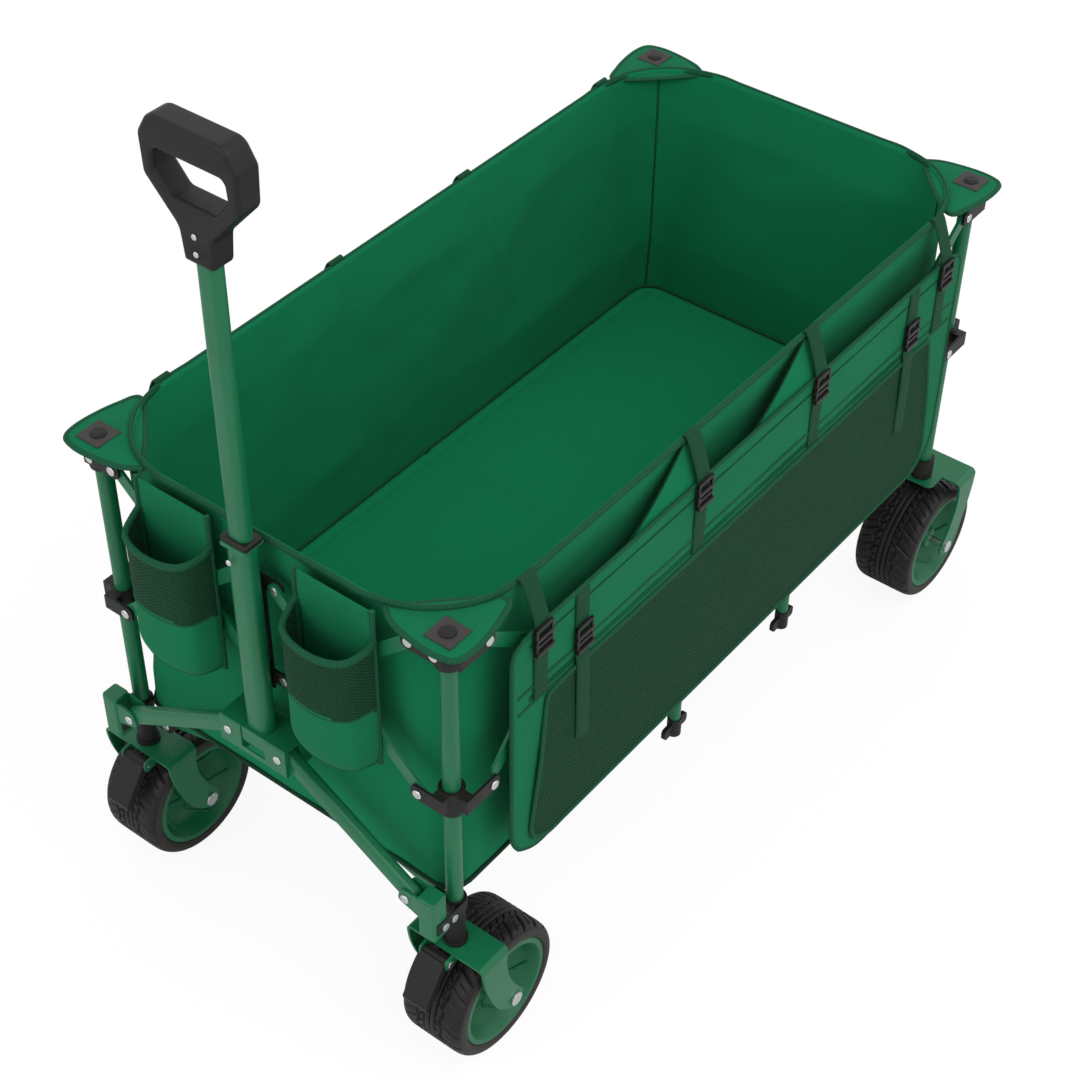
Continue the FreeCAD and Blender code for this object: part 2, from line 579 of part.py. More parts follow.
def middle_post():
    foot, top = MID_POST_FOOT + 3, HUB_TOP_Z + 24
    outer = cylinder(MID_POST_X, MID_POST_Y, foot, MID_POST_R, top - foot)
    return outer.cut(cylinder(MID_POST_X, MID_POST_Y, foot, MID_POST_R - TUBE_WALL, top - foot))


def ear_hub(height, reaches):
    """A collar on a middle post. Each reach is the way from the post to the pin of one ear,
    and the ears stand outside the bars."""
    body = cylinder(MID_POST_X, MID_POST_Y, height - 12, MID_POST_R + HUB_WALL, 24)
    y0 = LAYER_2 + BAR_T + SOFT
    tips = [MID_POST_X + r + (EAR_R if r > 0 else -EAR_R) for r in reaches] + [MID_POST_X]
    low, high = min(tips), max(tips)
    ears = plate_xz([(low, height - EAR_R), (low, height + EAR_R), (high, height + EAR_R),
                     (high, height - EAR_R)], [8 if low < MID_POST_X else 0] * 2
                    + [8 if high > MID_POST_X else 0] * 2, y0, y0 + HUB_EAR_T)
    return body.fuse(ears).cut(cylinder(MID_POST_X, MID_POST_Y, height - 12, MID_POST_R, 24))


def upper_hub(layer):
    """The upper collar with its pin, which holds the centre bar that lies in the layer."""
    length = LAYER_2 + BAR_T + SOFT + HUB_EAR_T - layer
    held = Part.makeCylinder(PIN_R, length, V(INNER_PIN_X, layer, HUB_TOP_Z), LEFT)
    return ear_hub(HUB_TOP_Z, [-HUB_REACH]).fuse(held).removeSplitter()


def middle_foot():
    """The moulded foot that closes a middle post and carries a low ear on each side."""
    body = cylinder(MID_POST_X, MID_POST_Y, MID_POST_FOOT, MID_POST_R + HUB_WALL, 30)
    wings = plate_xz([(MID_POST_X - 26, MID_POST_FOOT + 4), (MID_POST_X - 26, MID_POST_FOOT + 22),
                      (MID_POST_X + 26, MID_POST_FOOT + 22), (MID_POST_X + 26, MID_POST_FOOT + 4)],
                     [6, 6, 6, 6], MID_POST_Y - 3, MID_POST_Y + 3)
    solid = body.fuse(wings)
    well = cylinder(MID_POST_X, MID_POST_Y, MID_POST_FOOT + 3, MID_POST_R, 27)
    return solid.cut(well).removeSplitter()


LOW_HUB = ear_hub(HUB_LOW_Z, [-HUB_REACH, HUB_REACH]).removeSplitter()
save("middle_posts_front", both_sides([middle_post()]))
save("middle_posts_rear", both_sides([mirror_x(middle_post())]))
save("middle_hubs_front", both_sides([upper_hub(LAYER_1), LOW_HUB, middle_foot()]))
save("middle_hubs_rear", both_sides([mirror_x(s)
                                     for s in (upper_hub(LAYER_2), LOW_HUB, middle_foot())]))

# ---------------------------------------------------------------- handle arms and their brackets
ARM_PIN_Y, ARM_PIN_Z = PY - 34.0, 317.0
BLOCK_PIN_Y, BLOCK_PIN_Z = 41.0, PIVOT_Z + 2.0
ARM_T, ARM_W = 18.0, 24.0
CLEVIS_T = 3.2
CLEVIS_GAP = ARM_T + 2 * SOFT
UPRIGHT_X = ARM_X + 2.0
UPRIGHT_HALF = SLEEVE_R                          # the clamp's tails run straight past both
UPRIGHT_LOW, UPRIGHT_HIGH = 270.0, 335.0
UPRIGHT_CAP_T = 4.0
CLAMP_T = 2.5
CLAMP_LOW, CLAMP_HIGH = SLEEVE_TOP - 20.0, SLEEVE_TOP - 2.0
CLAMP_END = UPRIGHT_X + 8.0
BOLT_PLACES = (PX + 20.5, UPRIGHT_X - 4.0)


def square_column(inset, z0, z1):
    """A square block with rounded corners on an upright's axis."""
    reach = UPRIGHT_HALF - inset
    corners = [(UPRIGHT_X + a * reach, PY + b * reach)
               for a, b in ((-1, -1), (-1, 1), (1, 1), (1, -1))]
    return plate_xy(corners, [4.5 - inset] * 4, z0, z1)


def upright():
    """A short square tube beside the swivel sleeve, with the clevis that holds an arm."""
    tube = square_column(0, UPRIGHT_LOW, UPRIGHT_HIGH).cut(
        square_column(2, UPRIGHT_LOW, UPRIGHT_HIGH))
    root = PY - UPRIGHT_HALF + 3
    ears = []
    for x0 in (ARM_X - CLEVIS_GAP / 2 - CLEVIS_T, ARM_X + CLEVIS_GAP / 2):
        ear = plate_yz([(root, CLAMP_HIGH + SOFT), (root, UPRIGHT_HIGH - 2),
                        (ARM_PIN_Y - 7, ARM_PIN_Z + 14), (ARM_PIN_Y - 13, ARM_PIN_Z - 8)],
                       [0, 0, 8, 8], x0, x0 + CLEVIS_T)
        ears.append(ear.cut(Part.makeCylinder(PIN_R, CLEVIS_T, V(x0, ARM_PIN_Y, ARM_PIN_Z),
                                              AHEAD)))
    return fuse([tube] + ears)


def upright_cap():
    """The lid on an upright, a little smaller than the tube, with a soft upper edge."""
    cap = square_column(0.4, UPRIGHT_HIGH, UPRIGHT_HIGH + UPRIGHT_CAP_T)
    edges = [e for e in cap.Edges
             if abs(e.BoundBox.ZMin - UPRIGHT_HIGH - UPRIGHT_CAP_T) < 0.01]
    return cap.makeFillet(1.5, edges)


def clamp_strap():
    """A steel strap round the swivel sleeve, whose two tails lie along the upright."""
    height = CLAMP_HIGH - CLAMP_LOW
    ring = cylinder(PX, PY, CLAMP_LOW, SLEEVE_R + CLAMP_T, height)
    ring = ring.cut(box(PX, PX + 50, PY - 50, PY + 50, CLAMP_LOW, CLAMP_HIGH))
    tails = [box(PX, CLAMP_END, y, y + CLAMP_T, CLAMP_LOW, CLAMP_HIGH)
             for y in (PY + SLEEVE_R, PY - SLEEVE_R - CLAMP_T)]
    solid = fuse([ring] + tails)
    return solid.cut(cylinder(PX, PY, CLAMP_LOW, SLEEVE_R, height))


def clamp_bolts():
    """Button heads on the outer tail. The inner bolt runs through to the other tail."""
    middle = (CLAMP_LOW + CLAMP_HIGH) / 2
    outside = PY + SLEEVE_R + CLAMP_T
    heads = [cylinder(x, outside, middle, 5.5, 3, LEFT) for x in BOLT_PLACES]
    shank = cylinder(BOLT_PLACES[0], PY - SLEEVE_R, middle, 3, 2 * SLEEVE_R, LEFT)
    return heads + [shank]


save("uprights", both_sides([upright(), upright_cap()]))
save("clamp_straps", both_sides([clamp_strap()]))


def arm():
    """A flat-oval tube from an upright's clevis up to the handle block."""
    low = V(ARM_X - ARM_T / 2, ARM_PIN_Y, ARM_PIN_Z)
    high = V(ARM_X - ARM_T / 2, BLOCK_PIN_Y, BLOCK_PIN_Z)
    solid = bar(low, high, ARM_W, ARM_T, AHEAD, (False, False))
    long_edges = [e for e in solid.Edges if e.Length > 50]
    solid = solid.makeFillet(ARM_T / 2 - 2.5, long_edges)
    for point in (low, high):
        solid = solid.cut(Part.makeCylinder(PIN_R, ARM_T, point, AHEAD))
    return solid


save("pull_arms", both_sides([arm()]))

# ---------------------------------------------------------------- handle block
FOOT_R = 16.5               # round end of the handle, below its pivot
FOOT_HALF = 17.5            # half depth of the handle's foot above the pivot
SLOT_HALF = LOWER_W / 2 + SOFT
SLOT_BACK = HANDLE_X - FOOT_HALF - 2 * SOFT
LIP_TOP = BLOCK_LOW + 10.0
HINGE_R = 5.0


def handle_block():
    """The block across the front: an arm enters each end, and a slot holds the handle's foot."""
    solid = box(BLOCK_BACK, BLOCK_FRONT, -BLOCK_HALF_Y, BLOCK_HALF_Y, BLOCK_LOW, BLOCK_HIGH)
    edges = [e for e in solid.Edges if e.BoundBox.YLength > 50]
    solid = solid.makeFillet(3, edges)
    slot = box(SLOT_BACK, BLOCK_FRONT + 1, -SLOT_HALF, SLOT_HALF, LIP_TOP, BLOCK_HIGH + 1)
    well = box(SLOT_BACK, HANDLE_X + FOOT_R + SOFT, -SLOT_HALF, SLOT_HALF,
               BLOCK_LOW - 1, BLOCK_HIGH + 1)
    solid = solid.cut(slot).cut(well)
    gap = ARM_T / 2 + SOFT
    for sign in (1, -1):
        y0, y1 = sorted((sign * (SLOT_HALF + 6), sign * (BLOCK_HALF_Y + 1)))
        mouth = box(ARM_X - gap, ARM_X + gap, y0, y1, BLOCK_LOW - 1, BLOCK_HIGH - 4)
        solid = solid.cut(mouth)
        hole = Part.makeCylinder(PIN_R, 60, V(BLOCK_BACK, sign * BLOCK_PIN_Y, BLOCK_PIN_Z), AHEAD)
        solid = solid.cut(hole)
    hinge = cylinder(HANDLE_X, -SLOT_HALF - 4, PIVOT_Z, HINGE_R, 2 * SLOT_HALF + 8, LEFT)
    return solid.cut(hinge).removeSplitter()


def front_fasteners():
    """Everything that fastens the front frame: arm pins, block pins, bracket and cap pins."""
    clevis = ARM_X - CLEVIS_GAP / 2 - CLEVIS_T
    arm_pin = pin(V(clevis, ARM_PIN_Y, ARM_PIN_Z), AHEAD, CLEVIS_GAP + 2 * CLEVIS_T)
    block_pin = pin(V(BLOCK_BACK + 2, BLOCK_PIN_Y, BLOCK_PIN_Z), AHEAD,
                    BLOCK_FRONT - BLOCK_BACK - 2, 6, 2)
    sides = both_sides([arm_pin, block_pin, SIDE_CAP_PIN, SIDE_OPEN_PIN] + clamp_bolts())
    hinge = cylinder(HANDLE_X, -SLOT_HALF - 4, PIVOT_Z, HINGE_R, 2 * SLOT_HALF + 8, LEFT)
    return sides + end_pins(BASE_PIN_Z) + [hinge]


save("handle_block", [handle_block()])
save("front_fasteners", front_fasteners())
save("rear_fasteners", [mirror_x(p) for p in end_pins(REAR_BASE_PIN_Z)
                        + both_sides([SIDE_CAP_PIN, SIDE_OPEN_PIN])]
     + both_sides([axle(REAR_AXLE_X, PY)]))

# ---------------------------------------------------------------- pull handle
GUIDE = 0.08                # clearance of the sliding tube
FOOT_TOP = BLOCK_HIGH


def handle_foot():
    """The solid end of the handle: round below its pivot, square above it."""
    half = LOWER_W / 2
    round_end = cylinder(HANDLE_X, -half, PIVOT_Z, FOOT_R, LOWER_W, LEFT)
    block = box(HANDLE_X - FOOT_HALF, HANDLE_X + FOOT_HALF, -half, half, PIVOT_Z, FOOT_TOP)
    bore = cylinder(HANDLE_X, -half, PIVOT_Z, HINGE_R + RUN, LOWER_W, LEFT)
    return round_end.fuse(block).cut(bore).removeSplitter()


def collar():
    """An oval collar on top of the lower tube; the upper tube runs through it."""
    outer = flat_oval(LOWER_W + 5, LOWER_D + 5, HANDLE_X, 0, COLLAR_Z - 14, COLLAR_Z + 9)
    bore = flat_oval(UPPER_W + 2 * GUIDE, UPPER_D + 2 * GUIDE, HANDLE_X, 0,
                     COLLAR_Z - 14, COLLAR_Z + 9)
    lower = flat_oval(LOWER_W, LOWER_D, HANDLE_X, 0, COLLAR_Z - 14, COLLAR_Z)
    return outer.cut(bore).cut(lower)


def slider():
    """The plastic foot on the upper tube that runs inside the lower tube."""
    low = BLOCK_HIGH + STROKE + 4
    width, depth = LOWER_W - 2 * TUBE_WALL, LOWER_D - 2 * TUBE_WALL
    return flat_oval(width - 2 * GUIDE, depth - 2 * GUIDE, HANDLE_X, 0, low, low + 18)


SLIDER_TOP = BLOCK_HIGH + STROKE + 22


def grip():
    """A closed D-shaped grip: a neck that flares to a wide loop round a hand opening."""
    half = GRIP_W / 2
    x0 = HANDLE_X - GRIP_D / 2
    side = [(20, GRIP_LOW), (24, GRIP_LOW + 39), (half - 2, GRIP_LOW + 85),
            (half, GRIP_HIGH - 26), (half - 16, GRIP_HIGH)]
    radii = [4, 20, 14, 16, 18]
    points = side + [(-y, z) for y, z in reversed(side)]
    body = plate_yz(points, radii + radii[::-1], x0, x0 + GRIP_D)
    side = [(30, GRIP_LOW + 71), (50, GRIP_HIGH - 62), (48, GRIP_HIGH - 38)]
    points = side + [(-y, z) for y, z in reversed(side)]
    body = body.cut(plate_yz(points, [8] * 6, x0, x0 + GRIP_D))
    body = body.makeFillet(6, [e for e in body.Edges if e.BoundBox.XLength < 0.01])
    socket = flat_oval(UPPER_W, UPPER_D, HANDLE_X, 0, GRIP_LOW - 1, GRIP_LOW + GRIP_SOCKET)
    return body.cut(socket)


def grip_screws():
    face = HANDLE_X + GRIP_D / 2
    return [Part.makeCylinder(3.5, 1.5, V(face, 0, GRIP_LOW + z), AHEAD) for z in (15.0, 36.0)]


LOWER_TUBE = flat_oval(LOWER_W, LOWER_D, HANDLE_X, 0, FOOT_TOP, COLLAR_Z, TUBE_WALL)
RIVET = Part.makeCylinder(4.5, 1.8, V(HANDLE_X + LOWER_D / 2, -6, COLLAR_Z - 24), AHEAD)
save("handle_lower_tube", [handle_foot(), LOWER_TUBE])
save("handle_collar", [collar(), RIVET])
save("handle_upper_tube", [flat_oval(UPPER_W, UPPER_D, HANDLE_X, 0, SLIDER_TOP, GRIP_LOW + GRIP_SOCKET,
                              TUBE_WALL),
                    slider()])
save("grip", [grip()])
save("grip_screws", grip_screws())


# ---------------------------------------------------------------- fabric tub
def rim_outline(half_x, half_y, radius, z):
    return rounded([V(-half_x, -half_y, z), V(half_x, -half_y, z), V(half_x, half_y, z),
                    V(-half_x, half_y, z)], [radius] * 4)


def at_height(z):
    """Half sizes and corner radius of the tub's outside at a height."""
    share = (z - HEM_Z) / (RIM_Z - HEM_Z)
    return (TUB_LOW_X + (TUB_TOP_X - TUB_LOW_X) * share,
            TUB_LOW_Y + (TUB_TOP_Y - TUB_LOW_Y) * share,
            TUB_LOW_CORNER + (TUB_TOP_CORNER - TUB_LOW_CORNER) * share)


def tub_block(z0, z1, inset):
    wires = []
    for z in (z0, z1):
        half_x, half_y, radius = at_height(z)
        wires.append(rim_outline(half_x - inset, half_y - inset, radius - inset, z))
    return Part.makeLoft(wires, True, True)


def tub():
    """The tub: walls that lean out to the rim, a floor, and a skirt below the floor."""
    outer = tub_block(HEM_Z, RIM_Z, 0.0)
    inside = tub_block(FLOOR_Z, RIM_Z + 2, FABRIC)
    below = tub_block(HEM_Z - 2, FLOOR_Z - FLOOR_T, FABRIC)
    return outer.cut(inside).cut(below)


def floor_mat():
    half_x, half_y, radius = at_height(FLOOR_Z)
    inset = FABRIC + 4
    outline = rim_outline(half_x - inset, half_y - inset, radius - inset, FLOOR_Z + SOFT)
    return prism(outline, V(0, 0, MAT_T))


save("tub", [tub()])
save("floor_mat", [floor_mat()])


def corner_flap():
    """The stiff fabric ear that joins the tub's rim to the corner cap below it."""
    centre = V(TUB_TOP_X - TUB_TOP_CORNER, TUB_TOP_Y - TUB_TOP_CORNER, CAP_TOP + SOFT)
    flap_t = 3.0
    gap = 2 * SOFT
    outer = [(9, -82), (24, -56), (32, -8), (29, 22), (18, 34), (-13, 36), (-57, 28), (-83, 13)]
    outline = rounded([centre + V(70, -40, 0)]
                      + [V(PX + x, PY + y, centre.z) for x, y in outer]
                      + [centre + V(-40, 70, 0)], [0, 4, 20, 30, 12, 12, 30, 20, 4, 0])
    sheet = prism(outline, V(0, 0, flap_t))
    inside = Part.makeCylinder(TUB_TOP_CORNER + gap, flap_t + 2, centre - V(0, 0, 1))
    half_x, half_y, _ = at_height(CAP_TOP)
    inner = box(-half_x, half_x + gap, -half_y, half_y - TUB_TOP_CORNER,
                centre.z - 1, centre.z + flap_t + 1)
    other = box(-half_x, half_x - TUB_TOP_CORNER, -half_y, half_y + gap,
                centre.z - 1, centre.z + flap_t + 1)
    return sheet.cut(inside).cut(inner).cut(other)


def corner_badge():
    """The square patch on a corner flap, with its round button."""
    z = CAP_TOP + SOFT + 3.0
    half = 19.0
    patch = plate_xy([(PX - half, PY - half), (PX - half, PY + half), (PX + half, PY + half),
                      (PX + half, PY - half)], [3] * 4, z, z + 1)
    button = cylinder(PX, PY, z + 1, 10, 4)
    edges = [e for e in button.Edges if abs(e.BoundBox.ZMin - z - 5) < 0.01]
    return [patch, button.makeFillet(1.5, edges)]


FLAP, BADGE = corner_flap(), corner_badge()
save("corner_flaps_front", both_sides([FLAP]))
save("corner_flaps_rear", both_sides([mirror_x(FLAP)]))
save("corner_badges_front", both_sides(BADGE))
save("corner_badges_rear", both_sides([mirror_x(p) for p in BADGE]))


# ---------------------------------------------------------------- panels, pockets and straps
def side_panel():
    reach, low, high = PANEL_HALF_X, PANEL_LOW, PANEL_HIGH
    return plate_xz([(-reach, low), (reach, low), (reach, high), (-reach, high)],
                    [60, 60, 30, 30], PANEL_Y, PANEL_Y + PANEL_T)


POCKET_T, POCKET_HIGH = 2.5, 572.0
POCKET_Y = PANEL_Y + PANEL_T + SOFT


def side_pocket():
    low, wide, narrow = PANEL_LOW + 6, PANEL_HALF_X - 16, PANEL_HALF_X - 64
    return plate_xz([(-wide, low), (wide, low), (narrow, POCKET_HIGH), (-narrow, POCKET_HIGH)],
                    [50, 50, 14, 14], POCKET_Y, POCKET_Y + POCKET_T)


save("side_panels", both_sides([side_panel()]))
save("mesh_pockets", both_sides([side_pocket()]))

PANEL_OUT = PANEL_Y + PANEL_T + SOFT             # straps lie here on the panel
POCKET_OUT = POCKET_Y + POCKET_T + SOFT          # and here on the pocket
BUCKLE_W, BUCKLE_H, BUCKLE_T = 32.0, 40.0, 3.5
RIM_TAIL, POCKET_TAIL = POCKET_HIGH + 3.0, 445.0
RIM_BUCKLE_Z, POCKET_BUCKLE_Z = 675.0, 618.0


def webbing(x, path):
    """A webbing strap whose inner face follows the path of (y, z) points."""
    outside = [(y + STRAP_T, z) for y, z in reversed(path)]
    wire = Part.makePolygon([V(x - STRAP_W / 2, y, z) for y, z in path + outside + path[:1]])
    return prism(wire, V(STRAP_W, 0, 0))


def buckle(x, z):
    """A ladder-lock buckle: a frame with two windows."""
    y0 = PANEL_OUT + STRAP_T + SOFT
    half_w, half_h = BUCKLE_W / 2, BUCKLE_H / 2
    body = plate_xz([(x - half_w, z - half_h), (x + half_w, z - half_h),
                     (x + half_w, z + half_h), (x - half_w, z + half_h)],
                    [12, 12, 3, 3], y0, y0 + BUCKLE_T)
    for low, high in ((z - half_h + 8, z - 2), (z + 3, z + half_h - 5)):
        body = body.cut(box(x - half_w + 4, x + half_w - 4, y0, y0 + BUCKLE_T, low, high))
    return body


RIM_PATH = [(TUB_TOP_Y + SOFT, RIM_Z - 6), (PANEL_OUT, PANEL_HIGH + 12), (PANEL_OUT, RIM_TAIL)]
POCKET_PATH = [(PANEL_OUT, PANEL_HIGH - 4), (PANEL_OUT, POCKET_HIGH + 18),
               (POCKET_OUT, POCKET_HIGH + 6), (POCKET_OUT, POCKET_TAIL)]
STRAPS = [webbing(x, RIM_PATH) for x in RIM_STRAPS]
STRAPS += [webbing(x, POCKET_PATH) for x in POCKET_STRAPS]
BUCKLES = [buckle(x, RIM_BUCKLE_Z) for x in RIM_STRAPS]
BUCKLES += [buckle(x, POCKET_BUCKLE_Z) for x in POCKET_STRAPS]
save("straps", both_sides(STRAPS))
save("buckles", both_sides(BUCKLES))

# ---------------------------------------------------------------- cup pockets on the front wall
CUP_Y, CUP_HALF, CUP_DEPTH = 125.0, 58.0, 50.0
CUP_LOW, CUP_HIGH = 500.0, 700.0
CUP_WALL = 2.5
CUP_CORNER = 45.0
TAB_Z = RIM_Z - 1.0         # top of the tab that joins a pocket to the rim
CUP_BACK = FACE_2 + BAR_T + 1.5


def cup_pocket():
    """A half-round fabric pocket, open at its top, hung from the rim outside the bars."""
    def half_round(inset, z0, z1):
        w, d = CUP_HALF - inset, CUP_DEPTH - inset
        back = CUP_BACK + inset
        wire = rounded([V(back, CUP_Y - w, z0), V(CUP_BACK + d, CUP_Y - w, z0),
                        V(CUP_BACK + d, CUP_Y + w, z0), V(back, CUP_Y + w, z0)],
                       [1, CUP_CORNER - inset, CUP_CORNER - inset, 1])
        return prism(wire, V(0, 0, z1 - z0))
    outer = half_round(0, CUP_LOW, CUP_HIGH)
    pocket = outer.cut(half_round(CUP_WALL, CUP_LOW + CUP_WALL, CUP_HIGH + 1))
    sides = CUP_Y - CUP_HALF, CUP_Y + CUP_HALF
    back = box(CUP_BACK, CUP_BACK + CUP_WALL, *sides, CUP_LOW, TAB_Z)
    tab = box(TUB_TOP_X + SOFT, CUP_BACK + CUP_WALL, *sides, TAB_Z - CUP_WALL, TAB_Z)
    return fuse([pocket, back, tab])


save("cup_pockets", both_sides([cup_pocket()]))
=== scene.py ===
import json
from math import atan2, cos, pi, radians, sin, sqrt

import bmesh
import bpy
from mathutils import Matrix, Vector, noise


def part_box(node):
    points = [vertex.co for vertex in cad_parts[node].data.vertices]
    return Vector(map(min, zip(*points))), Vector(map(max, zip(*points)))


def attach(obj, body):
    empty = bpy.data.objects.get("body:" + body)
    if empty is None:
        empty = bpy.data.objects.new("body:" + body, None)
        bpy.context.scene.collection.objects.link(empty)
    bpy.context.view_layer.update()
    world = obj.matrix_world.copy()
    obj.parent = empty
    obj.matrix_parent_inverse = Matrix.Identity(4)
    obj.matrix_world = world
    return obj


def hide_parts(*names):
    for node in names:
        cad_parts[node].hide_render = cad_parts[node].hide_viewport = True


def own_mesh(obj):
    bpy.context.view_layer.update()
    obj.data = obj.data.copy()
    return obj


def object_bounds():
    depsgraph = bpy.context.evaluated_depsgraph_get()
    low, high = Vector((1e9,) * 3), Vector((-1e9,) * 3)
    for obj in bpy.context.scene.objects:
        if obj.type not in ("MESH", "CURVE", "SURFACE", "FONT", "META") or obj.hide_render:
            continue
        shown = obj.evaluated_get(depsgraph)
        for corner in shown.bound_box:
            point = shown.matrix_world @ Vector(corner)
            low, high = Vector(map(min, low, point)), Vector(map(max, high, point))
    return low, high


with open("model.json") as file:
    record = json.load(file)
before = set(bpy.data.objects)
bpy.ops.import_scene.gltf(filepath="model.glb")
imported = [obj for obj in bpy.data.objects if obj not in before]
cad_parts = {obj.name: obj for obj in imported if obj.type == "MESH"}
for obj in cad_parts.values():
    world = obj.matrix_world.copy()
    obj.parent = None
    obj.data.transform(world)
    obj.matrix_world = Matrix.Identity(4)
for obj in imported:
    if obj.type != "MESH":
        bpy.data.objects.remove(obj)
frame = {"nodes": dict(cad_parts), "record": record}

bl_info = {
    "name": "Folding Wagon",
    "version": (1, 0, 0),
    "blender": (4, 5, 0),
    "location": "View3D > Sidebar > Wagon",
    "description": "A folding utility wagon with a fabric tub and a pull handle",
    "category": "Object",
}

CAD_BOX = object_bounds()
SIDES = (("left", 1), ("right", -1))
ENDS = (("front", 1), ("rear", -1))

TUB_LOW, TUB_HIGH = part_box("tub")
MAT_LOW, MAT_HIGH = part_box("floor_mat")
PANEL_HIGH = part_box("side_panels")[1]
PANEL_LOW_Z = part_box("side_panels")[0].z
POCKET_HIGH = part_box("mesh_pockets")[1]
POST_X = (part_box("front_posts")[0].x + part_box("front_posts")[1].x) / 2
POST_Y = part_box("rear_forks")[1].y - 0.062
HEM_Z, RIM_Z = TUB_LOW.z, TUB_HIGH.z
BODY_OF = {node: body for body, nodes in frame["record"]["behaviour"]["bodies"].items()
           for node in nodes}


# ------------------------------------------------------------------ sizes and colours
class WagonSizes(bpy.types.PropertyGroup):
    wall: bpy.props.FloatProperty(
        name="Wall", description="Thickness of the tub's fabric wall", default=0.0026,
        unit="LENGTH")
    hem_inset_x: bpy.props.FloatProperty(
        name="Hem inset", description="How far the end walls lean in from rim to hem",
        default=0.014, unit="LENGTH")
    hem_inset_y: bpy.props.FloatProperty(
        name="Side hem inset", description="How far the side walls lean in from rim to hem",
        default=0.014, unit="LENGTH")
    rim_corner: bpy.props.FloatProperty(
        name="Rim corner", description="Corner radius at the rim", default=0.130, unit="LENGTH")
    hem_corner: bpy.props.FloatProperty(
        name="Hem corner", description="Corner radius at the hem", default=0.030, unit="LENGTH")
    piping: bpy.props.FloatProperty(
        name="Piping", description="Radius of the rim's piping", default=0.0042, unit="LENGTH")
    wrinkle: bpy.props.FloatProperty(
        name="Wrinkle", description="Depth of the soft folds in the walls", default=0.013,
        unit="LENGTH")
    strap_width: bpy.props.FloatProperty(
        name="Strap width", description="Width of the webbing", default=0.025, unit="LENGTH")
    strap_thickness: bpy.props.FloatProperty(
        name="Strap thickness", description="Thickness of the webbing", default=0.0016,
        unit="LENGTH")
    tread_pitches: bpy.props.IntProperty(
        name="Tread pitches", description="Blocks in one turn of a tyre", default=22, min=8)
    tread_depth: bpy.props.FloatProperty(
        name="Tread depth", description="Height of the tread blocks", default=0.0032,
        unit="LENGTH")
    edge: bpy.props.FloatProperty(
        name="Edge", description="Radius of the soft edges on metal parts", default=0.0008,
        unit="LENGTH")


def colour_property(label, words, value):
    return bpy.props.FloatVectorProperty(
        name=label, description=words, default=value, subtype="COLOR", size=3, min=0, max=1)


class WagonColours(bpy.types.PropertyGroup):
    paint: colour_property("Paint", "Colour of the frame", (0.008, 0.160, 0.066))
    rim: colour_property("Rims", "Colour of the wheel rims", (0.008, 0.150, 0.062))
    fabric: colour_property("Fabric", "Colour of the tub", (0.007, 0.225, 0.092))
    panel: colour_property("Panel", "Colour of the side panels", (0.008, 0.195, 0.082))
    mesh: colour_property("Mesh", "Colour of the mesh pockets", (0.009, 0.058, 0.026))
    webbing: colour_property("Webbing", "Colour of the straps", (0.012, 0.080, 0.036))
    piping: colour_property("Piping", "Colour of the bindings", (0.012, 0.105, 0.050))
    plastic: colour_property("Plastic", "Colour of the moulded parts", (0.012, 0.011, 0.0105))
    buckle: colour_property("Buckles", "Colour of the buckles", (0.016, 0.013, 0.0125))
    rubber: colour_property("Rubber", "Colour of the tread", (0.011, 0.011, 0.011))
    sidewall: colour_property("Sidewall", "Colour of the tyre's side", (0.035, 0.029, 0.028))
    patch: colour_property("Patch", "Colour of the corner patches", (0.050, 0.045, 0.043))
    steel: colour_property("Steel", "Colour of the pins and screws", (0.72, 0.72, 0.73))


def sizes():
    return bpy.context.scene.wagon_sizes


def colours():
    return bpy.context.scene.wagon_colours


